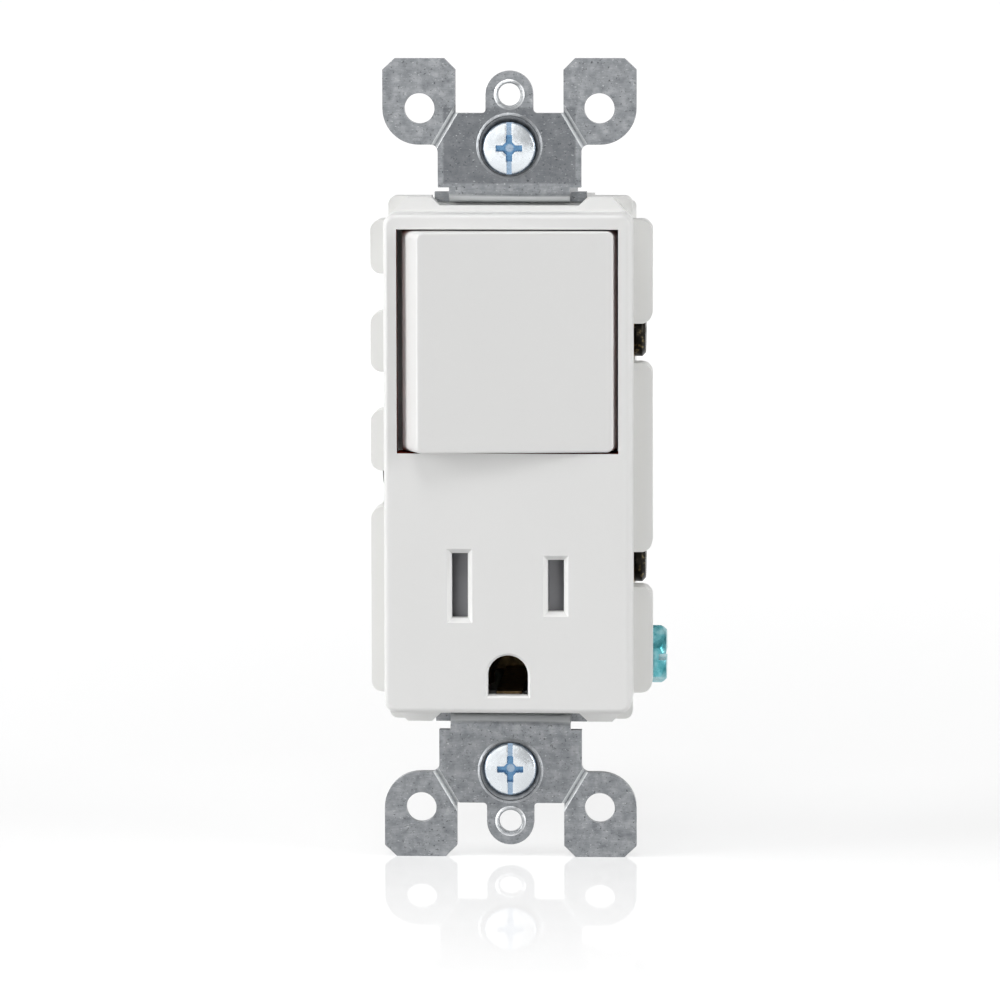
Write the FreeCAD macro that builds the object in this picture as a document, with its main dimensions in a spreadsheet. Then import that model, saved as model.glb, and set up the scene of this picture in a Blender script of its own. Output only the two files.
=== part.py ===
import FreeCAD, Part
import math
import os
import Sketcher

# Switch and socket combination for a wall box.
# X points right, Z up, and the face looks towards -Y.
# The origin is the centre of the strap's mounting plane.

doc = FreeCAD.newDocument("switch_socket")
sheet = doc.addObject("Spreadsheet::Sheet", "Sizes")
rows = []


class Size:
    """A number together with the formula that gives it."""

    def __init__(self, value, text):
        self.value = value
        self.text = text

    def __add__(self, other):
        other = as_size(other)
        return Size(self.value + other.value, "(" + self.text + " + " + other.text + ")")

    def __radd__(self, other):
        return as_size(other) + self

    def __sub__(self, other):
        other = as_size(other)
        return Size(self.value - other.value, "(" + self.text + " - " + other.text + ")")

    def __rsub__(self, other):
        return as_size(other) - self

    def __mul__(self, other):
        other = as_size(other)
        return Size(self.value * other.value, "(" + self.text + " * " + other.text + ")")

    def __rmul__(self, other):
        return as_size(other) * self

    def __truediv__(self, other):
        other = as_size(other)
        return Size(self.value / other.value, "(" + self.text + " / " + other.text + ")")

    def __neg__(self):
        return Size(-self.value, "(0 - " + self.text + ")")


def as_size(value):
    if isinstance(value, Size):
        return value
    return Size(float(value), repr(float(value)))


def size(name, value):
    """Write one driving dimension into the sheet."""
    rows.append(name)
    line = len(rows)
    sheet.set("A%d" % line, name)
    sheet.set("B%d" % line, repr(float(value)))
    sheet.setAlias("B%d" % line, name)
    return Size(float(value), "Sizes." + name)


# Face and front cover
face_half_w = size("face_half_w", 16.35)
face_half_h = size("face_half_h", 33.05)
face_proud = size("face_proud", 6.6)
face_corner = size("face_corner", 1.6)
face_edge = size("face_edge", 0.7)
strap_thick = size("strap_thick", 1.3)
cover_front = size("cover_front", 2.0)
cover_side = size("cover_side", 1.1)
cover_back = size("cover_back", 1.0)
cover_end = size("cover_end", 1.9)
hall_top = face_half_h - cover_end
hall_low = -(face_half_h - cover_end) - 0.35
wall_top = size("wall_top", 1.3)
wall_low = size("wall_low", -1.0)
flange_rise = size("flange_rise", 1.85)
flange_cut = size("flange_cut", 2.6)
flange_inset = size("flange_inset", 0.15)
flange_front = size("flange_front", -2.0)
flange_thick = size("flange_thick", 2.4)
flange_half_w = face_half_w - flange_inset
flange_half_h = face_half_h + flange_rise
flange_back = cover_back + flange_thick
flange_cut_x = flange_half_w - flange_cut
flange_cut_z = flange_half_h - flange_cut
leg_half = size("leg_half", 10.1)
leg_play = size("leg_play", 0.3)
leg_rear = size("leg_rear", 8.0)
leg_wide = size("leg_wide", 3.4)
notch_slope = size("notch_slope", 1.2)
notch_deep = size("notch_deep", 1.1)
notch_out = leg_half + leg_play
notch_in = notch_out - notch_slope
notch_floor = flange_half_h - notch_deep

# Rocker and its opening
opening_frame = size("opening_frame", 1.75)
opening_half_w = face_half_w - opening_frame
opening_inset = size("opening_inset", 0.125)
opening_half_h = (hall_top - wall_top) / 2 - opening_inset
rocker_mid_z = (hall_top + wall_top) / 2
rocker_play = size("rocker_play", 0.22)
rocker_half_h = opening_half_h - rocker_play
rocker_root_half = opening_half_w - 0.05
rocker_slope = size("rocker_slope", 1.65)
rocker_pad_half = rocker_root_half - rocker_slope
rocker_bevel_depth = size("rocker_bevel_depth", 4.6)
rocker_depth = size("rocker_depth", 6.2)
rocker_stand = size("rocker_stand", 1.5)
rocker_tilt = size("rocker_tilt", 6.5)
rocker_skin = size("rocker_skin", 1.5)
rocker_corner = size("rocker_corner", 0.9)
rocker_edge = size("rocker_edge", 0.35)
pivot_depth = size("pivot_depth", 8.2)
pin_r = size("pin_r", 1.5)
pin_reach = size("pin_reach", 1.3)
pin_play = size("pin_play", 0.06)
ear_half = size("ear_half", 2.6)
ear_thick = size("ear_thick", 1.3)
boss_r = size("boss_r", 3.0)
boss_bore = size("boss_bore", 2.05)
boss_floor = size("boss_floor", -4.0)

# Rear housing
case_inset = size("case_inset", 0.35)
case_shell = size("case_shell", 2.0)
case_half_w = face_half_w - case_inset
case_half_h = face_half_h - 0.05
case_back = size("case_back", 24.0)
case_floor = case_back - case_shell
case_hall = case_half_w - case_shell
case_hall_z = case_half_h - 1.8
case_wall = size("case_wall", 0.6)
pad_drop = size("pad_drop", 0.9)
pad_half_h = flange_half_h - pad_drop
wing_reach = size("wing_reach", 2.75)
wing_out = case_half_w + wing_reach
wing_front = size("wing_front", 2.6)
wing_deep = size("wing_deep", 4.8)
wing_back = wing_front + wing_deep
wing_round = size("wing_round", 1.5)
wing_short = size("wing_short", 1.4)
rib_reach = size("rib_reach", 1.8)
rib_out = case_half_w + rib_reach
rib_back = case_back - 2.5
rib_half = size("rib_half", 0.8)

# Brass plates, all at the depth of the terminals
brass = size("brass", 0.8)
terminal_y = case_back / 2 + 0.2
plate_out = case_hall - 0.1
plate_reach = size("plate_reach", 3.7)
plate_front = terminal_y - plate_reach
strip_reach = size("strip_reach", 3.0)
strip_front = terminal_y + strip_reach
live_top_z = rocker_mid_z + 0
live_low_z = size("live_low_z", -14.2)
load_z = size("load_z", -1.6)
neutral_z = live_low_z + 0
plate_half = size("plate_half", 4.0)
link_half = size("link_half", 1.2)
window_play = size("window_play", 0.6)
window_front = plate_front - window_play
window_back = strip_front + brass + window_play
window_half = plate_half + 0.3

# Seesaw and contacts
cradle_rise = size("cradle_rise", 2.65)
seesaw_pivot_y = strip_front - cradle_rise
seesaw_tilt = size("seesaw_tilt", 7.0)
seesaw_thick = size("seesaw_thick", 0.8)
seesaw_left = size("seesaw_left", -10.4)
seesaw_right = size("seesaw_right", 4.6)
seesaw_half_w = size("seesaw_half_w", 2.4)
cradle_r = size("cradle_r", 0.4)
contact_x = size("contact_x", -8.5)
contact_r = size("contact_r", 1.6)
moving_button = size("moving_button", 0.55)
fixed_button = size("fixed_button", 0.95)

# Plunger and its spring
plunger_play = size("plunger_play", 0.07)
plunger_gap = size("plunger_gap", 0.93)
plunger_stem = size("plunger_stem", 1.4)
plunger_start = size("plunger_start", 2.5)
plunger_r = boss_bore - plunger_play
plunger_tip = seesaw_pivot_y - plunger_gap
plunger_bare = size("plunger_bare", 4.6)
boss_end = plunger_tip - plunger_bare
plunger_step = boss_end - 0.8
spring_wire = size("spring_wire", 0.2)
spring_r = size("spring_r", 1.55)
spring_turns = size("spring_turns", 5)

# Blade slots and earth hole
slot_x = size("slot_x", 6.35)
slot_z = size("slot_z", -16.1)
slot_half_w = size("slot_half_w", 1.06)
neutral_half_h = size("neutral_half_h", 4.3)
live_half_h = size("live_half_h", 3.44)
slot_bevel = size("slot_bevel", 0.62)
earth_drop = size("earth_drop", 11.9)
earth_z = slot_z - earth_drop
earth_r = size("earth_r", 2.66)
earth_floor = earth_z - 2.7
earth_lip = size("earth_lip", 0.3)

# Strap
strap_gap = size("strap_gap", 0.05)
strap_leg = pad_half_h + strap_gap * 2
neck_half = size("neck_half", 8.0)
neck_rise = size("neck_rise", 0.35)
neck_low = strap_leg + strap_thick + neck_rise
neck_top = neck_low + 0.4
neck_back = size("neck_back", 1.7)
plate_half_w = size("plate_half_w", 9.5)
mount_rise = size("mount_rise", 7.55)
mount_z = strap_leg + mount_rise
strap_end = mount_z + 11.55
tab_hole_z = mount_z + 6.77
ear_hole_z = mount_z + 4.95
plate_top = mount_z + 4.32
ear_low = mount_z + 0.15
ear_out = size("ear_out", 16.8)
ear_in = size("ear_in", 7.15)
ear_cut = size("ear_cut", 1.5)
ear_round = size("ear_round", 4.8)
ear_hole_x = size("ear_hole_x", 11.9)
ear_hole_r = size("ear_hole_r", 2.0)
tab_half = size("tab_half", 3.15)
tab_hole_r = size("tab_hole_r", 1.5)
mount_hole_r = size("mount_hole_r", 2.15)
sink_r = size("sink_r", 3.85)
sink_deep = size("sink_deep", 0.75)
rim_wide = size("rim_wide", 0.6)
rim_rise = size("rim_rise", 0.25)
bend_out = size("bend_out", 1.6)
bend_in = size("bend_in", 0.4)
score_half = size("score_half", 0.12)
score_deep = size("score_deep", 0.45)
score_taper = size("score_taper", 38)
earth_tab_play = size("earth_tab_play", 0.25)
earth_tab_out = case_half_w + earth_tab_play + strap_thick
earth_tab_z = size("earth_tab_z", -27.6)
earth_tab_half = size("earth_tab_half", 3.6)
earth_screw_y = terminal_y + 0.2
earth_tab_front = earth_screw_y - 3.8

# Screws and rivets
head_r = size("head_r", 3.5)
head_rise = size("head_rise", 1.0)
shank_r = size("shank_r", 1.7)
mount_length = size("mount_length", 18.0)
mount_shift = size("mount_shift", 0.3)
captive_r = size("captive_r", 1.5)
captive_length = size("captive_length", 2.3)
drive_half = size("drive_half", 0.42)
drive_reach = size("drive_reach", 1.75)
drive_deep = size("drive_deep", 1.5)
core_r = size("core_r", 1.25)
core_deep = size("core_deep", 1.2)
slit_half = size("slit_half", 0.34)
slit_deep = size("slit_deep", 0.7)
terminal_head = size("terminal_head", 1.5)
terminal_length = size("terminal_length", 5.55)
terminal_seat = case_half_w + 0.15
terminal_end = terminal_seat - terminal_length
thread_play = size("thread_play", 0.06)
clamp_half = size("clamp_half", 3.4)
hex_r = size("hex_r", 4.05)
hex_thick = size("hex_thick", 2.85)
washer_half = size("washer_half", 4.2)
screw_x = (notch_out + flange_cut_x) / 2
screw_z = flange_half_h - 1.5
small_r = size("small_r", 0.95)
small_play = size("small_play", 0.05)
small_head = size("small_head", 1.45)
screw_front = size("screw_front", -1.5)
rivet_r = size("rivet_r", 1.5)
rivet_head = size("rivet_head", 2.6)
rivet_top_z = rocker_mid_z + 0
rivet_low_z = earth_z + 6.4

# Shutters
shutter_front_gap = size("shutter_front_gap", 0.15)
shutter_thick = size("shutter_thick", 2.0)
shutter_in = size("shutter_in", 4.9)
shutter_out = size("shutter_out", 8.3)
shutter_half_h = size("shutter_half_h", 5.3)
shutter_spring_r = size("shutter_spring_r", 0.72)
shutter_wire = size("shutter_wire", 0.13)
shutter_turns = size("shutter_turns", 4)
spring_post = size("spring_post", 0.5)
guide_thick = size("guide_thick", 1.0)
guide_top = wall_low - 0.2
guide_low = earth_z + 4.2
finger_in = size("finger_in", 3.0)
finger_out = size("finger_out", 9.0)
finger_hold = size("finger_hold", 1.5)
post_deep = size("post_deep", 1.6)

# Small fits
sheet_play = size("sheet_play", 0.9)
sheet_thick = size("sheet_thick", 0.6)
sheet_back = strip_front + brass + sheet_play + sheet_thick
seat_gap = size("seat_gap", 0.05)
lug_z = size("lug_z", 2.05)
lug_half = size("lug_half", 1.3)
lug_deep = size("lug_deep", 1.7)
jaw_half = size("jaw_half", 2.6)
cradle_half = size("cradle_half", 1.9)
earth_low = -(case_hall_z - 0.2)
earth_tongue = size("earth_tongue", 0.5)

face_y = -(strap_thick + face_proud)
pivot_y = face_y + pivot_depth
strap_rear = case_back + strap_gap + strap_thick
inner_face = face_y + cover_front
shutter_front = inner_face + shutter_front_gap
shutter_back = shutter_front + shutter_thick
guide_back = shutter_back + 0.15 + guide_thick
doc.recompute()

PLANES = {"x": "YZ_Plane", "y": "XZ_Plane", "z": "XY_Plane"}
nodes = {}


def new_body(label):
    body = doc.addObject("PartDesign::Body", label)
    body.Label = label
    return body


def keep(label, item):
    """Name the finished object that is exported for a piece."""
    item.Label = label
    nodes[label] = item


def pin(sk, geo, pos, u, v):
    """Tie one point of a sketch to two formulas."""
    for kind, line, value in (("DistanceX", -2, as_size(u)), ("DistanceY", -1, as_size(v))):
        if abs(value.value) < 1e-9:
            sk.addConstraint(Sketcher.Constraint("PointOnObject", geo, pos, line))
        else:
            n = sk.addConstraint(Sketcher.Constraint(kind, -1, 1, geo, pos, value.value))
            sk.setExpression("Constraints[%d]" % n, value.text)


def loop(sk, points):
    """Draw a closed outline of straight lines."""
    first = sk.GeometryCount
    places = [FreeCAD.Vector(as_size(u).value, as_size(v).value, 0) for u, v in points]
    for a, b in zip(places, places[1:] + places[:1]):
        sk.addGeometry(Part.LineSegment(a, b), False)
    count = len(points)
    for i in range(count):
        follow = first + (i + 1) % count
        sk.addConstraint(Sketcher.Constraint("Coincident", first + i, 2, follow, 1))
        pin(sk, first + i, 1, points[i][0], points[i][1])


def ring(sk, u, v, radius):
    centre = FreeCAD.Vector(as_size(u).value, as_size(v).value, 0)
    geo = sk.addGeometry(Part.Circle(centre, FreeCAD.Vector(0, 0, 1), as_size(radius).value), False)
    pin(sk, geo, 3, u, v)
    n = sk.addConstraint(Sketcher.Constraint("Radius", geo, as_size(radius).value))
    sk.setExpression("Constraints[%d]" % n, as_size(radius).text)


def rect(u0, u1, v0, v1):
    return [(u0, v0), (u1, v0), (u1, v1), (u0, v1)]


def sketch(body, axis, at):
    sk = body.newObject("Sketcher::SketchObject", body.Label + "_sketch")
    plane = [f for f in body.Origin.OriginFeatures if f.Role == PLANES[axis]][0]
    sk.AttachmentSupport = [(plane, "")]
    sk.MapMode = "FlatFace"
    offset = -as_size(at) if axis == "y" else as_size(at)
    sk.AttachmentOffset = FreeCAD.Placement(FreeCAD.Vector(0, 0, offset.value), FreeCAD.Rotation())
    sk.setExpression("AttachmentOffset.Base.z", offset.text)
    return sk


def draw(sk, loops):
    for item in loops:
        if len(item) == 3 and not isinstance(item[0], tuple):
            ring(sk, item[0], item[1], item[2])
        else:
            loop(sk, item)


def grow(body, axis, loops, low, high):
    """Pad outlines along an axis from low to high."""
    low, high = as_size(low), as_size(high)
    sk = sketch(body, axis, high if axis == "y" else low)
    draw(sk, loops)
    pad = body.newObject("PartDesign::Pad", body.Label + "_pad")
    pad.Profile = sk
    pad.Length = high.value - low.value
    pad.setExpression("Length", (high - low).text)
    return pad


def carve(body, axis, loops, low, high):
    """Pocket outlines along an axis from low to high."""
    low, high = as_size(low), as_size(high)
    sk = sketch(body, axis, low if axis == "y" else high)
    draw(sk, loops)
    pocket = body.newObject("PartDesign::Pocket", body.Label + "_pocket")
    pocket.Profile = sk
    pocket.Length = high.value - low.value
    pocket.setExpression("Length", (high - low).text)
    return pocket


def turn(body, points):
    """Revolve a half outline, radius and height, around the body's Z axis."""
    sk = body.newObject("Sketcher::SketchObject", body.Label + "_sketch")
    plane = [f for f in body.Origin.OriginFeatures if f.Role == "XZ_Plane"][0]
    sk.AttachmentSupport = [(plane, "")]
    sk.MapMode = "FlatFace"
    loop(sk, points)
    spin = body.newObject("PartDesign::Revolution", body.Label + "_turn")
    spin.Profile = sk
    spin.ReferenceAxis = (sk, ["V_Axis"])
    spin.Angle = 360
    return spin


def straight(edge, axis):
    """True for a straight edge that runs along an axis."""
    if edge.Curve.TypeId != "Part::GeomLine":
        return False
    way = edge.Vertexes[-1].Point - edge.Vertexes[0].Point
    return abs(getattr(way, axis)) > 0.999 * way.Length


def near(edge, x=None, y=None, z=None):
    """True where the middle of an edge has these distances from the centre planes."""
    middle = edge.CenterOfMass
    for wanted, got in ((x, abs(middle.x)), (y, middle.y), (z, abs(middle.z))):
        if wanted is not None and abs(as_size(wanted).value - got) > 0.02:
            return False
    return True


def dress(body, kind, amount, test):
    """Fillet or chamfer the edges that pass a test."""
    doc.recompute()
    base = body.Tip
    names = ["Edge%d" % (i + 1) for i, edge in enumerate(base.Shape.Edges) if test(edge)]
    if not names:
        raise RuntimeError("no edges for " + kind + " on " + body.Label)
    item = body.newObject("PartDesign::" + kind, body.Label + "_" + kind.lower())
    item.Base = (base, names)
    prop = "Radius" if kind == "Fillet" else "Size"
    item.setExpression(prop, as_size(amount).text)
    return item


def soften(body, amount, test):
    return dress(body, "Fillet", amount, test)


def bevel(body, amount, test):
    return dress(body, "Chamfer", amount, test)


def move(item, x=0, y=0, z=0, axis=(0, 0, 1), angle=0):
    """Give a piece its place, tied to the sheet."""
    x, y, z, angle = as_size(x), as_size(y), as_size(z), as_size(angle)
    turned = FreeCAD.Rotation(FreeCAD.Vector(*axis), angle.value)
    item.Placement = FreeCAD.Placement(FreeCAD.Vector(x.value, y.value, z.value), turned)
    for name, value in (("x", x), ("y", y), ("z", z)):
        item.setExpression("Placement.Base." + name, value.text)


# Front cover
cover = new_body("front_cover")
grow(cover, "y", [rect(-face_half_w, face_half_w, -face_half_h, face_half_h)], face_y, cover_back)
soften(cover, face_corner, lambda e: straight(e, "y") and near(e, x=face_half_w, z=face_half_h))
soften(cover, face_edge, lambda e: near(e, y=face_y))
for side in (1, -1):
    outline = [
        (-flange_half_w, (flange_cut_z - 2) * side),
        (-flange_half_w, flange_cut_z * side),
        (-flange_cut_x, flange_half_h * side),
        (-notch_out, flange_half_h * side),
        (-notch_in, notch_floor * side),
        (notch_in, notch_floor * side),
        (notch_out, flange_half_h * side),
        (flange_cut_x, flange_half_h * side),
        (flange_half_w, flange_cut_z * side),
        (flange_half_w, (flange_cut_z - 2) * side),
    ]
    grow(cover, "y", [outline], flange_front, cover_back)
hall_half = face_half_w - cover_side
carve(
    cover,
    "y",
    [rect(-hall_half, hall_half, wall_top, hall_top), rect(-hall_half, hall_half, hall_low, wall_low)],
    inner_face,
    cover_back,
)
opening_low = rocker_mid_z - opening_half_h
opening_high = rocker_mid_z + opening_half_h
carve(cover, "y", [rect(-opening_half_w, opening_half_w, opening_low, opening_high)], face_y, inner_face)
neutral_slot = rect(
    -slot_x - slot_half_w, -slot_x + slot_half_w, slot_z - neutral_half_h, slot_z + neutral_half_h
)
live_slot = rect(slot_x - slot_half_w, slot_x + slot_half_w, slot_z - live_half_h, slot_z + live_half_h)
carve(cover, "y", [neutral_slot, live_slot], face_y, inner_face)
bevel(
    cover,
    slot_bevel,
    lambda e: near(e, y=face_y)
    and abs(e.CenterOfMass.x) < (slot_x + slot_half_w).value + 0.1
    and abs(e.CenterOfMass.z - slot_z.value) < neutral_half_h.value + 0.1,
)
carve(cover, "y", [(0, earth_z, earth_r)], face_y, inner_face)
carve(cover, "y", [rect(-earth_r, earth_r, earth_floor, earth_z)], face_y, inner_face)
bevel(
    cover,
    earth_lip,
    lambda e: near(e, y=face_y)
    and abs(e.CenterOfMass.x) < earth_r.value + 0.1
    and abs(e.CenterOfMass.z - earth_z.value) < earth_r.value + 0.2,
)
# Seats of the rocker's pins, open to the back
seat_r = pin_r + pin_play
for low, high in ((wall_top - pin_reach, wall_top), (hall_top, hall_top + pin_reach)):
    carve(cover, "z", [(0, pivot_y, seat_r)], low, high)
    carve(cover, "z", [rect(-seat_r, seat_r, pivot_y, cover_back + 1)], low, high)
# Blind holes of the four assembly screws
holes = [(screw_x * a, screw_z * b, small_r + small_play) for a in (1, -1) for b in (1, -1)]
carve(cover, "y", holes, screw_front - 0.1, cover_back)
keep("front_cover", cover)

# Rear housing
case = new_body("rear_housing")
grow(case, "y", [rect(-case_half_w, case_half_w, -case_half_h, case_half_h)], cover_back, case_back)
grow(case, "y", [rect(-notch_out, notch_out, -pad_half_h, pad_half_h)], cover_back, case_back)
for side in (1, -1):
    outline = [
        (-flange_half_w, (flange_cut_z - 2) * side),
        (-flange_half_w, flange_half_h * side),
        (-notch_out, flange_half_h * side),
        (-notch_out, notch_floor * side),
        (notch_out, notch_floor * side),
        (notch_out, flange_half_h * side),
        (flange_half_w, flange_half_h * side),
        (flange_half_w, (flange_cut_z - 2) * side),
    ]
    grow(case, "y", [outline], cover_back, flange_back)
soften(case, 1.1, lambda e: straight(e, "y") and near(e, x=flange_half_w, z=flange_half_h))
wing_end = case_half_h - wing_short
wings = {
    1: (
        (live_top_z + 1.6, wing_end),
        (live_low_z + 1.5, live_top_z - 3.7),
        (-wing_end, live_low_z - 3.2),
    ),
    -1: (
        (rocker_mid_z + 8.2, wing_end),
        (rocker_mid_z - 4.9, rocker_mid_z + 3.1),
        (load_z - 0.3, load_z + 7.8),
        (-wing_end, load_z - 5.2),
    ),
}
for side in (1, -1):
    for low, high in wings[side]:
        span = [(case_half_w - 0.5) * side, wing_out * side]
        grow(case, "y", [rect(span[0], span[1], low, high)], wing_front, wing_back)
soften(case, wing_round, lambda e: straight(e, "y") and near(e, x=wing_out))
# Ribs between the terminals
ribs = {
    1: (live_top_z + 6.2, live_top_z - 6.6, live_low_z + 6.6, live_low_z - 6.4),
    -1: (load_z + 6.4, load_z - 6.3, neutral_z - 6.4),
}
for side in (1, -1):
    boxes = [
        rect((case_half_w - 0.5) * side, rib_out * side, z - rib_half, z + rib_half) for z in ribs[side]
    ]
    grow(case, "y", boxes, wing_back - 0.5, rib_back)
# Switch chamber and socket chamber
carve(
    case,
    "y",
    [
        rect(-case_hall, case_hall, case_wall, case_hall_z),
        rect(-case_hall, case_hall, -case_hall_z, -case_wall),
    ],
    cover_back,
    case_floor,
)
# Fingers that hold the shutter guide from behind
grow(
    case,
    "y",
    [rect(-finger_out, finger_out, guide_top - finger_hold, -case_wall + 0.3)],
    cover_back,
    cover_back + 3,
)
fingers = [
    rect(finger_in * a, finger_out * a, guide_top - finger_hold, wall_low - 0.15) for a in (1, -1)
]
grow(case, "y", fingers, guide_back, cover_back + 1)
for side in (1, -1):
    low, high = guide_low - 0.6, guide_low + 1.2
    post = rect((case_hall - post_deep) * side, (case_hall + 0.3) * side, low, high)
    grow(case, "y", [post], cover_back, case_floor + 0.5)
    post = rect((case_hall - post_deep) * side, case_hall * side, low, high)
    grow(case, "y", [post], guide_back, cover_back + 1)
# Ledge that carries the insulating sheet
grow(
    case,
    "y",
    [
        rect(-case_hall - 0.3, case_hall + 0.3, case_wall - 0.3, case_wall + 1.2),
        rect(-case_hall - 0.3, case_hall + 0.3, case_hall_z - 1.2, case_hall_z + 0.3),
    ],
    sheet_back,
    case_floor + 0.5,
)
# Terminal windows in the side walls and the passage of the plates through the partition
for side, places in ((1, (live_top_z, live_low_z)), (-1, (load_z, neutral_z))):
    for place in places:
        opening = [
            (window_front, place - window_half),
            (window_back, place - window_half),
            (window_back, place + window_half),
            (window_front, place + window_half),
        ]
        wall = (case_hall - 0.4, case_half_w + 0.2)
        if side < 0:
            wall = (-wall[1], -wall[0])
        carve(case, "x", [opening], wall[0], wall[1])
carve(case, "x", [rect(terminal_y - 2, terminal_y + 2, -2, 4)], case_hall - 0.4, case_half_w + 0.2)
passage = rect(plate_front - 0.3, strip_front + brass + 0.3, -2, 2)
carve(case, "x", [passage], plate_out - brass - 0.3, case_hall)
carve(case, "x", [passage], -case_hall, -terminal_end + 1.9)
# Saddles behind the rocker's pins
carve(case, "z", [(0, pivot_y, seat_r)], hall_top, hall_top + pin_reach)
carve(case, "z", [(0, pivot_y, seat_r)], wall_top - pin_reach, wall_top)
# Assembly screw holes with room for the heads
bevel(case, bend_in + 0.15, lambda e: straight(e, "x") and near(e, y=case_back, z=pad_half_h))
holes = [(screw_x * a, screw_z * b, small_r + small_play) for a in (1, -1) for b in (1, -1)]
carve(case, "y", holes, cover_back, flange_back)
holes = [(screw_x * a, screw_z * b, small_head + 0.1) for a in (1, -1) for b in (1, -1)]
carve(case, "y", holes, flange_back, flange_back + 6)
# Rivet holes and the hole behind the earth screw
carve(case, "y", [(0, rivet_top_z, rivet_r + 0.05), (0, rivet_low_z, rivet_r + 0.05)], case_floor, case_back)
carve(case, "x", [(earth_screw_y, earth_tab_z, shank_r + 0.4)], case_hall - 0.4, case_half_w + 0.2)
soften(case, 0.8, lambda e: straight(e, "y") and near(e, x=case_half_w, z=case_half_h))
keep("rear_housing", case)

# Rocker, drawn level about its pivot and then tilted
rocker = new_body("rocker")
pad_y = -(pivot_depth + rocker_stand)
bevel_y = pad_y + rocker_bevel_depth
skirt_y = pad_y + rocker_depth
profile = [
    (-rocker_pad_half, pad_y),
    (rocker_pad_half, pad_y),
    (rocker_root_half, bevel_y),
    (rocker_root_half, skirt_y),
    (-rocker_root_half, skirt_y),
    (-rocker_root_half, bevel_y),
]
grow(rocker, "z", [profile], -rocker_half_h, rocker_half_h)
soften(
    rocker,
    rocker_corner,
    lambda e: near(e, z=rocker_half_h) and pad_y.value + 0.1 < e.CenterOfMass.y < bevel_y.value - 0.1,
)
soften(rocker, rocker_edge, lambda e: e.BoundBox.YMax < pad_y.value + 0.01)
inside = [
    (-rocker_pad_half + rocker_skin * 0.7, pad_y + rocker_skin),
    (rocker_pad_half - rocker_skin * 0.7, pad_y + rocker_skin),
    (rocker_root_half - rocker_skin, bevel_y),
    (rocker_root_half - rocker_skin, skirt_y),
    (-rocker_root_half + rocker_skin, skirt_y),
    (-rocker_root_half + rocker_skin, bevel_y),
]
carve(rocker, "z", [inside], -rocker_half_h + rocker_skin, rocker_half_h - rocker_skin)
ears = ((-rocker_half_h, -rocker_half_h + ear_thick), (rocker_half_h - ear_thick, rocker_half_h))
for low, high in ears:
    grow(rocker, "z", [rect(-ear_half, ear_half, skirt_y - 0.5, 0)], low, high)
    grow(rocker, "z", [(0, 0, ear_half)], low, high)
grow(rocker, "z", [(0, 0, pin_r)], -rocker_half_h - pin_reach + 0.15, rocker_half_h + pin_reach - 0.15)
carve(rocker, "z", [(0, 0, ear_half + 0.1)], -rocker_half_h + ear_thick, rocker_half_h - ear_thick)
grow(rocker, "y", [(0, 0, boss_r)], pad_y + rocker_skin - 0.3, boss_end - pivot_y)
for low, high in ((-rocker_half_h + 0.5, -2.5), (2.5, rocker_half_h - 0.5)):
    grow(rocker, "x", [rect(pad_y + rocker_skin - 0.3, skirt_y - 0.6, low, high)], -0.6, 0.6)
carve(rocker, "y", [(0, 0, boss_bore)], boss_floor - pivot_y, boss_end - pivot_y + 0.01)
move(rocker, 0, pivot_y, rocker_mid_z, angle=rocker_tilt)
keep("rocker", rocker)

# Plunger in the rocker's boss
plunger = new_body("plunger")
stem_top = plunger_tip - plunger_stem
turn(
    plunger,
    [
        (0, plunger_start - pivot_y),
        (plunger_r, plunger_start - pivot_y),
        (plunger_r, plunger_step - pivot_y),
        (plunger_stem, plunger_step + 0.5 - pivot_y),
        (plunger_stem, plunger_tip - pivot_y),
        (0, plunger_tip - pivot_y),
    ],
)
tip_z = (plunger_tip - pivot_y).value
bevel(plunger, plunger_stem * 0.5, lambda e: abs(e.CenterOfMass.z - tip_z) < 0.01)
plunger_rest = FreeCAD.Rotation(FreeCAD.Vector(0, 0, 1), rocker_tilt.value)
lay_back = FreeCAD.Rotation(FreeCAD.Vector(1, 0, 0), -90)
move(plunger, 0, pivot_y, rocker_mid_z)
plunger.Placement = FreeCAD.Placement(plunger.Placement.Base, plunger_rest.multiply(lay_back))
keep("plunger", plunger)


def coil(label, radius, wire, turns, length):
    """A compression spring along its own Z axis, from a six-sided wire."""
    steps = 12
    pitch = length.value / turns.value
    points = [
        FreeCAD.Vector(
            radius.value * math.cos(2 * math.pi * i / steps),
            radius.value * math.sin(2 * math.pi * i / steps),
            pitch * i / steps,
        )
        for i in range(int(turns.value * steps) + 1)
    ]
    rise = points[1] - points[0]
    side = FreeCAD.Vector(1, 0, 0)
    up = rise.cross(side).normalize()
    ring_points = [
        points[0]
        + side * (wire.value * math.cos(math.radians(60 * i)))
        + up * (wire.value * math.sin(math.radians(60 * i)))
        for i in range(6)
    ]
    profile = Part.makePolygon(ring_points + ring_points[:1])
    spring = doc.addObject("Part::Feature", label)
    spring.Shape = Part.makePolygon(points).makePipeShell([profile], True, False, 1)
    return spring


plunger_spring = coil(
    "plunger_spring",
    spring_r,
    spring_wire,
    spring_turns,
    plunger_start - boss_floor - spring_wire * 2 - 0.1,
)
swing = FreeCAD.Placement(FreeCAD.Vector(0, pivot_y.value, rocker_mid_z.value), plunger_rest)
start = FreeCAD.Placement(
    FreeCAD.Vector(0, (boss_floor - pivot_y + spring_wire + 0.05).value, 0), lay_back
)
plunger_spring.Placement = swing.multiply(start)
keep("plunger_spring", plunger_spring)

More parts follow.
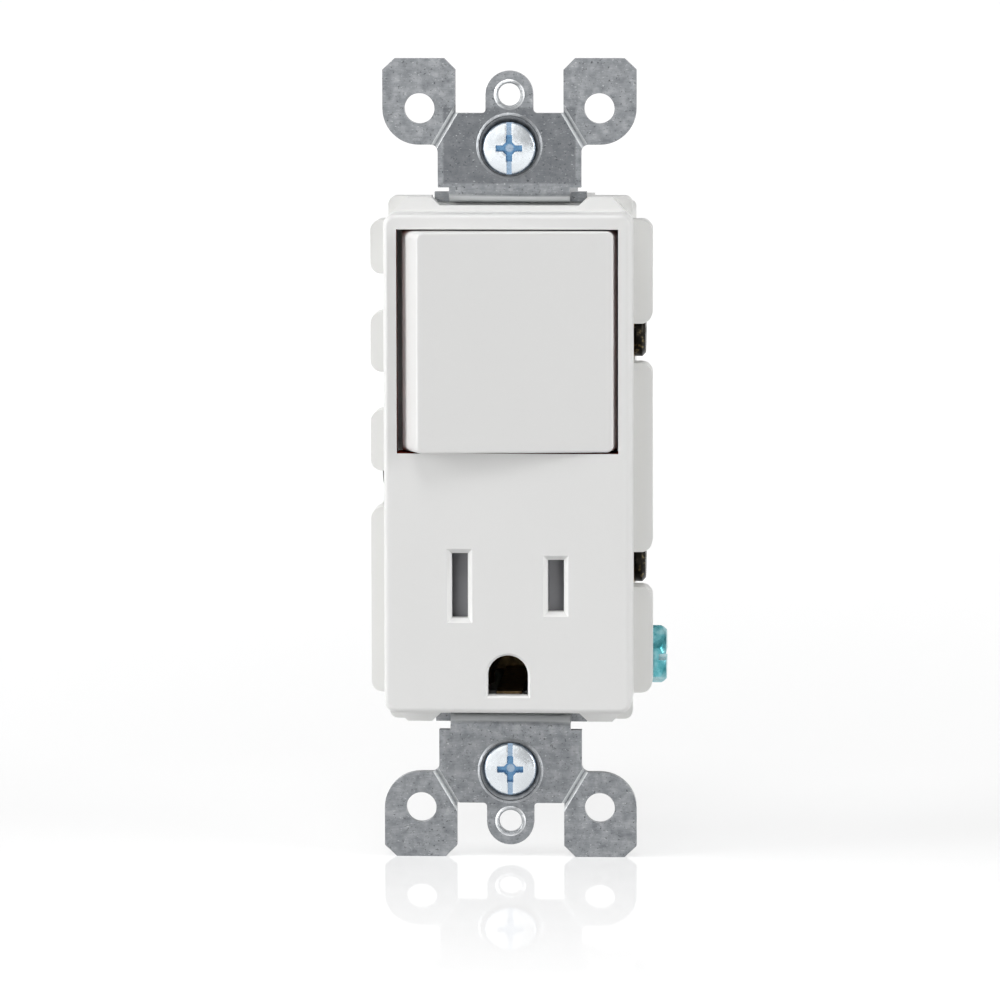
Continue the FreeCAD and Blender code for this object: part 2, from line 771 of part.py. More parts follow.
# Seesaw on its cradle, drawn about the knife edge
seesaw = new_body("seesaw")
back_y = -seat_gap
front_y = -(seat_gap + seesaw_thick)
grow(
    seesaw,
    "y",
    [rect(seesaw_left, seesaw_right, -seesaw_half_w, seesaw_half_w)],
    front_y,
    back_y,
)
soften(seesaw, 0.8, lambda e: straight(e, "y"))
for side in (1, -1):
    low, high = (lug_z, seesaw_half_w) if side > 0 else (-seesaw_half_w, -lug_z)
    grow(seesaw, "z", [rect(-lug_half, lug_half, front_y, lug_deep)], low, high)
carve(seesaw, "z", [(0, 0, cradle_r + seat_gap)], -cradle_half - 0.1, cradle_half + 0.1)
move(seesaw, 0, seesaw_pivot_y, rocker_mid_z, angle=-seesaw_tilt)
keep("seesaw", seesaw)

seesaw_rest = FreeCAD.Rotation(FreeCAD.Vector(0, 0, 1), -seesaw_tilt.value)


def button(label, start_y, end_y):
    """A silver contact, domed on one side."""
    body = new_body(label)
    height = end_y - start_y
    turn(body, [(0, 0), (contact_r, 0), (contact_r, height), (0, height)])
    bevel(body, 0.25, lambda e: abs(e.CenterOfMass.z - height.value) < 0.01)
    return body


moving = button("seesaw_contact", back_y, back_y + moving_button)
swing = FreeCAD.Placement(FreeCAD.Vector(0, seesaw_pivot_y.value, rocker_mid_z.value), seesaw_rest)
seat = FreeCAD.Placement(FreeCAD.Vector(contact_x.value, back_y.value, 0), lay_back)
moving.Placement = swing.multiply(seat)
keep("seesaw_contact", moving)

fixed = button("fixed_contact", strip_front - fixed_button, strip_front)
lay_front = FreeCAD.Rotation(FreeCAD.Vector(1, 0, 0), 90)
fixed.Placement = FreeCAD.Placement(
    FreeCAD.Vector(contact_x.value, strip_front.value, rocker_mid_z.value), lay_front
)
keep("fixed_contact", fixed)


def blade_jaws(body, middle_x, half_w):
    """The two leaves that grip a flat blade, on a strip at the back."""
    for side in (1, -1):
        leaf = [
            (middle_x + side * 0.55, 1.6),
            (middle_x + side * 1.5, -1.5),
            (middle_x + side * 2.2, -1.3),
            (middle_x + side * 1.3, 1.8),
            (middle_x + side * 2.2, 6.5),
            (middle_x + side * 2.2, strip_front + brass),
            (middle_x + side * 1.4, strip_front + brass),
            (middle_x + side * 1.4, 6.6),
        ]
        grow(body, "z", [leaf], slot_z - half_w, slot_z + half_w)


# Live plate with both terminals, break-off link, cradle and blade jaws
live = new_body("live_plate")
plate_in = plate_out - brass
side_view = [
    (plate_front, live_low_z - plate_half),
    (strip_front + brass, live_low_z - plate_half - 0.6),
    (strip_front + brass, live_low_z + plate_half),
    (terminal_y + link_half, live_low_z + plate_half),
    (terminal_y + link_half, live_top_z - plate_half),
    (strip_front + brass, live_top_z - plate_half),
    (strip_front + brass, live_top_z + plate_half),
    (plate_front, live_top_z + plate_half),
    (plate_front, live_top_z - plate_half),
    (terminal_y - link_half, live_top_z - plate_half),
    (terminal_y - link_half, live_low_z + plate_half),
    (plate_front, live_low_z + plate_half),
]
grow(live, "x", [side_view], plate_in, plate_out)
grow(
    live,
    "y",
    [rect(-cradle_r, plate_in + 0.1, rocker_mid_z - cradle_half, rocker_mid_z + cradle_half)],
    strip_front,
    strip_front + brass,
)
for outline in (
    rect(-cradle_r, cradle_r, seesaw_pivot_y, strip_front + 0.1),
    (0, seesaw_pivot_y, cradle_r),
):
    grow(live, "z", [outline], rocker_mid_z - cradle_half, rocker_mid_z + cradle_half)
grow(
    live,
    "y",
    [rect(slot_x - 2.2, plate_in + 0.1, slot_z - jaw_half, slot_z + jaw_half)],
    strip_front,
    strip_front + brass,
)
blade_jaws(live, slot_x, jaw_half)
carve(
    live,
    "x",
    [(terminal_y, live_top_z, shank_r + thread_play), (terminal_y, live_low_z, shank_r + thread_play)],
    plate_in - 0.1,
    plate_out + 0.1,
)
link_mid = (live_top_z + live_low_z) / 2
link_slot = rect(terminal_y - 0.55, terminal_y + 0.55, link_mid - 0.3, link_mid + 0.3)
carve(live, "x", [link_slot], plate_in, plate_out)
keep("live_plate", live)

# Neutral plate
neutral = new_body("neutral_plate")
side_view = [
    (plate_front, neutral_z - plate_half),
    (strip_front + brass, neutral_z - plate_half - 0.6),
    (strip_front + brass, neutral_z + plate_half),
    (plate_front, neutral_z + plate_half),
]
grow(neutral, "x", [side_view], -plate_out, -plate_in)
grow(
    neutral,
    "y",
    [rect(-plate_in - 0.1, -slot_x + 2.2, slot_z - jaw_half, slot_z + jaw_half)],
    strip_front,
    strip_front + brass,
)
blade_jaws(neutral, -slot_x, jaw_half)
carve(neutral, "x", [(terminal_y, neutral_z, shank_r + thread_play)], -plate_out - 0.1, -plate_in + 0.1)
keep("neutral_plate", neutral)

# Load plate with the shelf of the fixed contact
load = new_body("load_plate")
side_view = [
    (plate_front, load_z - plate_half),
    (strip_front + brass, load_z - plate_half),
    (strip_front + brass, rocker_mid_z + cradle_half),
    (terminal_y + 1, rocker_mid_z + cradle_half),
    (terminal_y + 1, load_z + plate_half),
    (plate_front, load_z + plate_half),
]
grow(load, "x", [side_view], -plate_out, -plate_in)
grow(
    load,
    "y",
    [rect(-plate_in - 0.1, contact_x + 2, rocker_mid_z - cradle_half, rocker_mid_z + cradle_half)],
    strip_front,
    strip_front + brass,
)
carve(load, "x", [(terminal_y, load_z, shank_r + thread_play)], -plate_out - 0.1, -plate_in + 0.1)
keep("load_plate", load)

# Earth contact on the housing floor
earth = new_body("earth_contact")
grow(earth, "y", [rect(-3.4, 3.4, earth_low, -19.0)], case_floor - brass, case_floor)
for side in (1, -1):
    leaf = [
        (side * 2.15, -1.0),
        (side * 2.9, -3.6),
        (side * 3.6, -3.4),
        (side * 2.95, -0.9),
        (side * 3.4, 4),
        (side * 3.4, case_floor),
        (side * 2.6, case_floor),
        (side * 2.6, 4.1),
    ]
    grow(earth, "z", [leaf], earth_low + 1.2, -25.4)
tongue = [
    (-4.8, earth_low),
    (case_floor, earth_low),
    (case_floor, earth_low + earth_tongue),
    (-4.8, earth_low + earth_tongue),
]
grow(earth, "x", [tongue], -1.7, 1.7)
carve(earth, "y", [(0, rivet_low_z, rivet_r + 0.05)], case_floor - brass, case_floor)
keep("earth_contact", earth)

# Strap, the side view and the front outline joined
side_body = new_body("strap_side")
profile = [
    (-strap_thick, strap_end),
    (0, strap_end),
    (0, strap_leg + strap_thick),
    (strap_rear, strap_leg + strap_thick),
    (strap_rear, -strap_leg - strap_thick),
    (0, -strap_leg - strap_thick),
    (0, -strap_end),
    (-strap_thick, -strap_end),
    (-strap_thick, -strap_leg),
    (strap_rear - strap_thick, -strap_leg),
    (strap_rear - strap_thick, strap_leg),
    (-strap_thick, strap_leg),
]
grow(side_body, "x", [profile], -ear_out - 1, ear_out + 1)
soften(side_body, bend_out, lambda e: straight(e, "x") and near(e, y=-strap_thick, z=strap_leg))
soften(side_body, bend_in, lambda e: straight(e, "x") and near(e, y=0, z=strap_leg + strap_thick))
soften(side_body, bend_out, lambda e: straight(e, "x") and near(e, y=strap_rear, z=strap_leg + strap_thick))
soften(side_body, bend_in, lambda e: straight(e, "x") and near(e, y=strap_rear - strap_thick, z=strap_leg))
# Narrow necks at the front bends
for side in (1, -1):
    edges = [
        rect(neck_half * a, (ear_out + 2) * a, (strap_leg - 1) * side, neck_low * side) for a in (1, -1)
    ]
    carve(side_body, "y", edges, -strap_thick - 1, neck_back)

# The legs are narrower behind the flanges
for side in (1, -1):
    edges = [rect(leg_rear * a, (ear_out + 2) * a, leg_wide, strap_rear + 1) for a in (1, -1)]
    low, high = (strap_leg - 1, strap_leg + strap_thick + 1) if side > 0 else (
        -strap_leg - strap_thick - 1, -strap_leg + 1)
    carve(side_body, "z", edges, low, high)
back_edges = [
    rect(leg_rear * a, (ear_out + 2) * a, -strap_leg - 2, strap_leg + 2) for a in (1, -1)
]
carve(side_body, "y", back_edges, case_back - 1, strap_rear + 1)

front_body = new_body("strap_front")
quarter = [
    (leg_half, neck_low),
    (neck_half, neck_low),
    (neck_half, neck_top),
    (plate_half_w, neck_top),
    (plate_half_w, ear_low),
    (ear_out, ear_low),
    (ear_out, strap_end - ear_cut),
    (ear_out - ear_cut - 0.1, strap_end),
    (ear_in + ear_cut, strap_end),
    (ear_in, strap_end - ear_cut),
    (ear_in, plate_top),
    (tab_half, plate_top),
    (tab_half, tab_hole_z),
]
outline = list(quarter)
outline += [(-u, v) for u, v in reversed(quarter)]
outline += [(-u, -v) for u, v in quarter]
outline += [(u, -v) for u, v in reversed(quarter)]
grow(front_body, "y", [outline], -strap_thick - 2, strap_rear + 2)
for side in (1, -1):
    grow(front_body, "y", [(0, tab_hole_z * side, tab_half)], -strap_thick - 2, strap_rear + 2)
soften(front_body, ear_round, lambda e: straight(e, "y") and near(e, x=ear_out, z=ear_low))
soften(front_body, 1.0, lambda e: straight(e, "y") and near(e, x=plate_half_w, z=ear_low))
soften(front_body, 0.5, lambda e: straight(e, "y") and near(e, x=tab_half, z=plate_top))
sheet_form = doc.addObject("Part::Common", "strap_sheet")
sheet_form.Base = side_body
sheet_form.Tool = front_body

# Earth tab that folds forward beside the housing
tab_body = new_body("strap_tab")
tab_in = earth_tab_out - strap_thick
fold = [
    (leg_rear - 1, strap_rear - strap_thick),
    (tab_in, strap_rear - strap_thick),
    (tab_in, earth_tab_front),
    (earth_tab_out, earth_tab_front),
    (earth_tab_out, strap_rear),
    (leg_rear - 1, strap_rear),
]
grow(tab_body, "z", [fold], earth_tab_z - earth_tab_half, earth_tab_z + earth_tab_half)
soften(tab_body, bend_out, lambda e: straight(e, "z") and near(e, x=earth_tab_out, y=strap_rear))
soften(tab_body, bend_in, lambda e: straight(e, "z") and near(e, x=tab_in, y=strap_rear - strap_thick))
soften(tab_body, 1.2, lambda e: straight(e, "x") and near(e, y=earth_tab_front))

# Raised rims pressed around the screw holes and the tab holes
rims = []
turned_front = FreeCAD.Rotation(FreeCAD.Vector(1, 0, 0), 90)
for side in (1, -1):
    for name, place, inner in (("rim", mount_z, sink_r), ("collar", tab_hole_z, tab_hole_r)):
        rim = new_body("strap_" + name + ("_top" if side > 0 else "_low"))
        turn(
            rim,
            [
                (inner, -0.3),
                (inner + rim_wide * 0.3, rim_rise),
                (inner + rim_wide, -0.05),
                (inner + rim_wide, -0.3),
            ],
        )
        move(rim, 0, -strap_thick, place * side)
        rim.Placement = FreeCAD.Placement(rim.Placement.Base, turned_front)
        rims.append(rim)
solid_form = doc.addObject("Part::MultiFuse", "strap_solid")
solid_form.Shapes = [sheet_form, tab_body] + rims

# Everything that is punched, countersunk or scored
punch = new_body("strap_punch")
grow(
    punch,
    "y",
    [(ear_hole_x * a, ear_hole_z * b, ear_hole_r) for a in (1, -1) for b in (1, -1)]
    + [(0, tab_hole_z * b, tab_hole_r) for b in (1, -1)],
    -strap_thick - 1,
    1,
)
punch.AllowCompound = True
rivet_tool = new_body("strap_rivet_holes")
rivet_tool.AllowCompound = True
grow(
    rivet_tool,
    "y",
    [(0, rivet_top_z, rivet_r + 0.05), (0, rivet_low_z, rivet_r + 0.05)],
    case_back - 1,
    strap_rear + 1,
)
tools = [punch, rivet_tool]
for side in (1, -1):
    sink = new_body("strap_sink" + ("_top" if side > 0 else "_low"))
    turn(
        sink,
        [
            (0, 1),
            (mount_hole_r, 1),
            (mount_hole_r, -strap_thick + sink_deep),
            (sink_r, -strap_thick),
            (sink_r, -strap_thick - 1),
            (0, -strap_thick - 1),
        ],
    )
    turned = FreeCAD.Rotation(FreeCAD.Vector(1, 0, 0), -90)
    move(sink, 0, 0, mount_z * side)
    sink.Placement = FreeCAD.Placement(sink.Placement.Base, turned)
    tools.append(sink)
tap = doc.addObject("Part::Cylinder", "strap_tap")
tap.setExpression("Radius", (shank_r + thread_play).text)
tap.Height = 4
move(tap, earth_tab_out - 3, earth_screw_y, earth_tab_z)
tap.Placement = FreeCAD.Placement(tap.Placement.Base, FreeCAD.Rotation(FreeCAD.Vector(0, 1, 0), 90))
tools.append(tap)
for a in (1, -1):
    for b in (1, -1):
        groove = new_body("strap_score")
        line = [
            ((ear_in - 0.4 - score_half) * a, (plate_top + 1.0) * b),
            ((ear_in - 0.4 + score_half) * a, (plate_top + 1.0) * b),
            ((plate_half_w + 0.5 + score_half) * a, (ear_low - 0.3) * b),
            ((plate_half_w + 0.5 - score_half) * a, (ear_low - 0.3) * b),
        ]
        cut = grow(groove, "y", [line], -strap_thick - 0.2, -strap_thick + score_deep)
        cut.setExpression("TaperAngle", score_taper.text)
        tools.append(groove)
punches = doc.addObject("Part::MultiFuse", "strap_punches")
punches.Shapes = tools
strap = doc.addObject("Part::Cut", "strap")
strap.Base = solid_form
strap.Tool = punches
keep("strap", strap)


def fastener(label, points, place, tilt_axis, tilt, driver):
    """A turned screw with its drive cut into the head."""
    body = new_body(label)
    turn(body, points)
    if driver:
        top, reach, half, deep = driver
        carve(body, "z", [rect(-reach, reach, -half, half)], top - deep, top + 0.5)
        carve(body, "z", [rect(-half, half, -reach, reach)], top - deep, top + 0.5)
    move(body, *place)
    body.Placement = FreeCAD.Placement(
        body.Placement.Base, FreeCAD.Rotation(FreeCAD.Vector(*tilt_axis), tilt)
    )
    return body


# Mounting screws with an oval head, a cross recess and a slit
for label, side in (("mounting_screw_top", 1), ("mounting_screw_low", -1)):
    head_low = -sink_deep + 0.06
    body = fastener(
        label,
        [
            (0, -mount_length),
            (shank_r - 0.4, -mount_length),
            (shank_r, -mount_length + 1),
            (shank_r, -captive_length),
            (captive_r, -captive_length),
            (captive_r, head_low),
            (head_r - 0.15, 0.2),
            (head_r, 0.34),
            (head_r - 0.25, 0.62),
            (head_r * 0.55, head_rise * 0.93),
            (0, head_rise),
        ],
        (0, -strap_thick, (mount_z - mount_shift) * side),
        (1, 0, 0),
        90,
        (head_rise, drive_reach, drive_half, drive_deep),
    )
    slit = rect(-slit_half, slit_half, -head_r - 0.1, head_r + 0.1)
    carve(body, "z", [slit], head_rise - slit_deep, head_rise + 0.5)
    heart = [(core_r, 0), (0, core_r), (-core_r, 0), (0, -core_r)]
    carve(body, "z", [heart], head_rise - core_deep, head_rise + 0.5)
    keep(label, body)

# Retaining washers behind the strap
for label, side in (("screw_washer_top", 1), ("screw_washer_low", -1)):
    body = new_body(label)
    grow(body, "y", [rect(-washer_half, washer_half, -3.4, 3.4)], 0, 0.8)
    soften(body, 0.8, lambda e: straight(e, "y"))
    carve(body, "y", [(0, 0, captive_r + thread_play)], 0, 0.8)
    move(body, 0, 0.05, (mount_z - mount_shift) * side)
    keep(label, body)

# Terminal screws and their clamp plates
terminals = (
    ("live_top", 1, live_top_z),
    ("live_low", 1, live_low_z),
    ("load", -1, load_z),
    ("neutral", -1, neutral_z),
)
for name, side, place in terminals:
    body = fastener(
        "terminal_screw_" + name,
        [
            (0, terminal_end - terminal_seat),
            (shank_r - 0.4, terminal_end - terminal_seat),
            (shank_r, terminal_end - terminal_seat + 0.6),
            (shank_r, 0),
            (head_r, 0),
            (head_r, terminal_head - 0.45),
            (head_r - 0.5, terminal_head),
            (0, terminal_head),
        ],
        (terminal_seat * side, terminal_y, place),
        (0, 1, 0),
        90 * side,
        (terminal_head, drive_reach, drive_half, terminal_head - 0.4),
    )
    keep("terminal_screw_" + name, body)
    clamp = new_body("clamp_" + name)
    grow(clamp, "x", [rect(-clamp_half, clamp_half, -clamp_half, clamp_half)], -brass, 0)
    soften(clamp, 0.6, lambda e: straight(e, "x"))
    carve(clamp, "x", [(0, 0, shank_r + thread_play)], -brass, 0)
    shift = terminal_seat - 0.05 if side > 0 else -(terminal_seat - 0.05 - brass)
    move(clamp, shift, terminal_y, place)
    keep("clamp_" + name, clamp)

# Earth screw with a hexagon head
hex_out = hex_thick + 0.05
earth_screw = new_body("earth_screw")
turn(
    earth_screw,
    [
        (0, -8),
        (shank_r - 0.4, -8),
        (shank_r, -7.4),
        (shank_r, 0.05),
        (hex_r + 0.1, 0.05),
        (hex_r + 0.1, 0.6),
        (hex_r + 0.1, hex_out - 0.85),
        (hex_r - 0.75, hex_out),
        (0, hex_out),
    ],
)
corner = hex_r * 1.01
sixth = [
    (corner * math.cos(math.radians(60 * i + 12)), corner * math.sin(math.radians(60 * i + 12)))
    for i in range(6)
]
outer = rect(-9, 9, -9, 9)
carve(earth_screw, "z", [outer, sixth], 0.62, hex_out + 0.5)
carve(earth_screw, "z", [rect(-slit_half * 1.3, slit_half * 1.3, -9, 9)], hex_out - 1.0, hex_out + 0.5)
move(earth_screw, earth_tab_out, earth_screw_y, earth_tab_z)
earth_screw.Placement = FreeCAD.Placement(
    earth_screw.Placement.Base, FreeCAD.Rotation(FreeCAD.Vector(0, 1, 0), 90)
)
keep("earth_screw", earth_screw)

# Shutters, their springs and the guide they slide on
for name, side, tall in (("neutral", -1, shutter_half_h), ("live", 1, shutter_half_h)):
    body = new_body("shutter_" + name)
    wedge = [
        (shutter_in * side, shutter_front),
        ((slot_x - 0.9) * side, shutter_front),
        (shutter_out * side, shutter_back - 0.7),
        (shutter_out * side, shutter_back),
        (shutter_in * side, shutter_back),
    ]
    grow(body, "z", [wedge], slot_z - tall, slot_z + tall)
    keep("shutter_" + name, body)
spring_y = (shutter_front + shutter_back) / 2
for name, side in (("neutral", -1), ("live", 1)):
    length = shutter_in - spring_post - shutter_wire * 2 - 0.1
    item = coil("shutter_spring_" + name, shutter_spring_r, shutter_wire, shutter_turns, length)
    place = FreeCAD.Vector((spring_post + shutter_wire + 0.05).value * side, spring_y.value, slot_z.value)
    item.Placement = FreeCAD.Placement(place, FreeCAD.Rotation(FreeCAD.Vector(0, 1, 0), 90 * side))
    keep("shutter_spring_" + name, item)
guide = new_body("shutter_guide")
guide_front = guide_back - guide_thick
grow(guide, "y", [rect(-14.0, 14.0, guide_low, guide_top)], guide_front, guide_back)
for low, high in ((slot_z - 6.9, slot_z - 5.5), (slot_z + 5.5, slot_z + 6.9)):
    grow(guide, "y", [rect(-11, 11, low, high)], inner_face + 0.05, guide_front + 0.1)
grow(
    guide,
    "y",
    [rect(-spring_post, spring_post, slot_z - 1.6, slot_z + 1.6)],
    inner_face + 0.4,
    guide_front + 0.1,
)
carve(
    guide,
    "y",
    [
        rect(-slot_x - 1.25, -slot_x + 1.25, slot_z - 4.6, slot_z + 4.6),
        rect(slot_x - 1.25, slot_x + 1.25, slot_z - 4.6, slot_z + 4.6),
    ],
    guide_front,
    guide_back,
)
keep("shutter_guide", guide)

# Insulating sheet behind the switch
barrier = new_body("insulating_sheet")
grow(
    barrier,
    "y",
    [rect(-case_hall + 0.2, case_hall - 0.2, case_wall + 0.2, case_hall_z - 0.2)],
    sheet_back - sheet_thick,
    sheet_back,
)
keep("insulating_sheet", barrier)

# Rivets through strap and housing, and the four assembly screws
earth_rivet = fastener(
    "earth_rivet",
    [
        (0, brass.value * -1 - 1.1),
        (rivet_head - 0.5, brass.value * -1 - 1.1),
        (rivet_head, brass.value * -1 - 0.5),
        (rivet_head, -brass - 0.05),
        (rivet_r, -brass - 0.05),
        (rivet_r, strap_rear - case_floor + 0.05),
        (rivet_head, strap_rear - case_floor + 0.05),
        (rivet_head - 0.5, strap_rear - case_floor + 0.7),
        (0, strap_rear - case_floor + 0.7),
    ],
    (0, case_floor, rivet_low_z),
    (1, 0, 0),
    -90,
    None,
)
keep("earth_rivet", earth_rivet)
top_rivet = fastener(
    "strap_rivet",
    [
        (0, -1.1),
        (rivet_head - 0.5, -1.1),
        (rivet_head, -0.5),
        (rivet_head, -0.05),
        (rivet_r, -0.05),
        (rivet_r, strap_rear - case_floor + 0.05),
        (rivet_head, strap_rear - case_floor + 0.05),
        (rivet_head - 0.5, strap_rear - case_floor + 0.7),
        (0, strap_rear - case_floor + 0.7),
    ],
    (0, case_floor, rivet_top_z),
    (1, 0, 0),
    -90,
    None,
)
keep("strap_rivet", top_rivet)
small_screws = []
for a in (1, -1):
    for b in (1, -1):
        one = fastener(
            "assembly_screw",
            [
                (0, screw_front - flange_back),
                (small_r, screw_front - flange_back),
                (small_r, 0.05),
                (small_head, 0.05),
                (small_head, 0.9),
                (0, 0.9),
            ],
            (screw_x * a, flange_back, screw_z * b),
            (1, 0, 0),
            -90,
            None,
        )
        small_screws.append(one)
group = doc.addObject("Part::Compound", "assembly_screws")
group.Links = small_screws
keep("assembly_screws", group)

doc.recompute()
for item in doc.Objects:
    states = [s for s in item.State if s in ("Invalid", "Error")]
    if states:
        raise RuntimeError(item.Label + " " + item.Name + " is " + ", ".join(states))
os.makedirs("parts", exist_ok=True)
total = 0
for label, item in nodes.items():
    shape = item.Shape
    if shape.isNull() or not shape.isValid():
        raise RuntimeError(label + " has no valid shape")
    shape.exportStep("parts/" + label + ".step")
    box = shape.BoundBox
    total += 1
    ends = (box.XMin, box.XMax, box.YMin, box.YMax, box.ZMin, box.ZMax)
    print(
        "%-26s solids %d volume %9.2f" % (label, len(shape.Solids), shape.Volume),
        " x %6.2f %6.2f  y %6.2f %6.2f  z %6.2f %6.2f" % ends,
    )
print("pieces", total)
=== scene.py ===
# %% [markdown]
# Looks for a switch and socket combination.
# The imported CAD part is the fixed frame: its pieces keep their place and mesh.
# This script gives them materials and fine edges, draws the screw threads and the springs, and
# lights the whole.

# %% Load the frame
import math
import bmesh
import bpy
from mathutils import Matrix, Vector


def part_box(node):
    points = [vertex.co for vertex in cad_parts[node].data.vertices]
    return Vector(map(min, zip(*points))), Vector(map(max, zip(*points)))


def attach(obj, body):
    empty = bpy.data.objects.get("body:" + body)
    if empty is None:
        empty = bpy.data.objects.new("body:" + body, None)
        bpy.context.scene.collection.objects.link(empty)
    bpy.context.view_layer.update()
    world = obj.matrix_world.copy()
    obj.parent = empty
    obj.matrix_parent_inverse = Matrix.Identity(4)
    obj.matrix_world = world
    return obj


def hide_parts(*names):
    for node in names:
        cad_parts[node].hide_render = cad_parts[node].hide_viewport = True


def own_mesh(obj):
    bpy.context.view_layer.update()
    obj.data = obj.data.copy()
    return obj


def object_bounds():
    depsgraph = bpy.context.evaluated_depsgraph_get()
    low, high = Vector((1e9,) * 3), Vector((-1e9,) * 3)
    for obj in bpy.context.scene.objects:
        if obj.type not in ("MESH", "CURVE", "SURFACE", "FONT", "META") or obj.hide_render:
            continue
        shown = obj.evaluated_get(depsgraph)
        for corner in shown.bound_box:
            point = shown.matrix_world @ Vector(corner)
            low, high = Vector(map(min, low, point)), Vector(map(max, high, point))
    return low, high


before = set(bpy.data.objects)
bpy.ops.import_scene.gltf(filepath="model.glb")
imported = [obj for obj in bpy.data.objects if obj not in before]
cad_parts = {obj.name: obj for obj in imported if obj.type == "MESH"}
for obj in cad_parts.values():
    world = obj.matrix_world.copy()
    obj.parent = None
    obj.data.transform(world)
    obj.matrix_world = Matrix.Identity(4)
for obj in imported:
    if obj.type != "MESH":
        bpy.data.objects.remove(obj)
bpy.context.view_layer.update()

# %% [markdown]
# All lengths here are in metres, so a millimetre is a named value.
# Colours are picked as they look on a screen and turned into linear light by one function.

# %% Units and colour
MM = 0.001


def linear(code):
    """Linear colour of a screen colour such as #8A8C8F."""
    shades = [int(code[i:i + 2], 16) / 255 for i in (1, 3, 5)]
    light = [s / 12.92 if s <= 0.04045 else ((s + 0.055) / 1.055) ** 2.4 for s in shades]
    return (light[0], light[1], light[2], 1.0)


print("mid grey", [round(v, 3) for v in linear("#808080")[:3]])

# %% [markdown]
# A material starts as one principled shader with its fixed values.
# Further nodes are added by one small function that sets values and links in a single call. It
# sets a property of the node, such as its operation, or an input, with a colour as its screen
# code. A link can start at a socket, or at a node, whose first output in use is then taken.

# %% Materials and nodes
def material(name, colour, **values):
    """A material with a principled shader. Returns the material and its shader."""
    made = bpy.data.materials.new(name)
    made.use_nodes = True
    shader = made.node_tree.nodes["Principled BSDF"]
    shader.inputs["Base Color"].default_value = linear(colour)
    for key, value in values.items():
        shader.inputs[key.replace("_", " ")].default_value = value
    return made, shader


def link(made, source, item, key):
    """Link a socket, or the first output of a node that is in use, to an input."""
    if isinstance(source, bpy.types.Node):
        source = next(s for s in source.outputs if s.enabled)
    made.node_tree.links.new(source, item.inputs[key])


def add(made, kind, settings=None, links=None):
    """Add one node, set its properties and inputs, and link its inputs."""
    item = made.node_tree.nodes.new(kind)
    for key, value in (settings or {}).items():
        if isinstance(key, str) and hasattr(item, key):
            setattr(item, key, value)
        else:
            item.inputs[key].default_value = linear(value) if isinstance(value, str) else value
    for key, source in (links or {}).items():
        link(made, source, item, key)
    return item


print("a material's nodes are made by", add.__name__)

# %% [markdown]
# Moulded grain, rolled streaks and worn patches are all soft noise of a real size, fixed to the
# piece. A noise texture counts features per metre, so its scale is one over the size. The
# pattern then gives the colour, shifts the roughness within a narrow range, or raises the
# surface a little.

# %% Patterns on a surface
def pattern(made, size, detail=3.0, stretch=None):
    """Soft noise whose features are about this many metres across."""
    where = add(made, "ShaderNodeTexCoord").outputs["Object"]
    if stretch:
        where = add(made, "ShaderNodeMapping", {"Scale": stretch}, {"Vector": where})
    return add(made, "ShaderNodeTexNoise", {"Scale": 1 / size, "Detail": detail}, {"Vector": where})


def colour_by(made, shader, source, stops):
    """Let the colour follow a pattern, from pairs of level and screen colour."""
    item = add(made, "ShaderNodeValToRGB", links={"Fac": source})
    bar = item.color_ramp
    while len(bar.elements) < len(stops):
        bar.elements.new(0.5)
    for element, (level, colour) in zip(bar.elements, stops):
        element.position = level
        element.color = linear(colour)
    link(made, item, shader, "Base Color")
    return item


def dull_by(made, shader, source, low, high, smooth, rough):
    """Let the roughness follow a pattern, between a smooth and a rough value."""
    settings = {"From Min": low, "From Max": high, "To Min": smooth, "To Max": rough}
    link(made, add(made, "ShaderNodeMapRange", settings, {"Value": source}), shader, "Roughness")


def roughen(made, shader, height, depth, strength=1.0, follow=None):
    """Raise the surface by a pattern, depth in metres, on top of an earlier relief if given."""
    links = {"Height": height}
    if follow:
        links["Normal"] = follow
    relief = add(made, "ShaderNodeBump", {"Distance": depth, "Strength": strength}, links)
    link(made, relief, shader, "Normal")
    return relief


print("a pattern of 0.5 mm has a scale of", round(1 / (0.5 * MM)))

# %% [markdown]
# Some finishes change from one place of a piece to the next, such as the painted shade in an opening.
# A mask is 1 where the second finish lies. Here it is a box in the piece's own coordinates, with
# a narrow soft rim so that the border isn't jagged. The boxes come from those of the pieces.

# %% Box masks
def within(made, where, middle, half, soft):
    """1 inside a box of this middle and half size, 0 outside, with a soft rim."""
    apart = add(made, "ShaderNodeVectorMath", {"operation": "SUBTRACT", 1: middle}, {0: where})
    apart = add(made, "ShaderNodeVectorMath", {"operation": "ABSOLUTE"}, {0: apart})
    apart = add(made, "ShaderNodeVectorMath", {"operation": "SUBTRACT", 1: half}, {0: apart})
    sides = add(made, "ShaderNodeSeparateXYZ", links={"Vector": apart}).outputs
    far = add(made, "ShaderNodeMath", {"operation": "MAXIMUM"}, {0: sides["X"], 1: sides["Y"]})
    far = add(made, "ShaderNodeMath", {"operation": "MAXIMUM"}, {0: far, 1: sides["Z"]})
    rim = {"From Min": -soft, "From Max": soft, "To Min": 1.0, "To Max": 0.0}
    return add(made, "ShaderNodeMapRange", rim, {"Value": far})


def span(low, high):
    """The middle and the half size of a piece's box, each along x, y and z."""
    middle = [(a + b) / 2 for a, b in zip(low, high)]
    half = [(b - a) / 2 for a, b in zip(low, high)]
    return middle, half


rocker_middle, rocker_half = span(*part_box("rocker"))
print("rocker about", [round(v / MM, 1) for v in rocker_middle], "mm")

# %% [markdown]
# The face and the rocker are injection-moulded thermoplastic with a fine satin grain.
# The grain is about a third of a millimetre across and only a few micrometres deep. It takes the
# sharpness out of highlights, which is what makes such a face look soft.

# %% Satin white plastic
FACE_WHITE = "#EFEFEE"


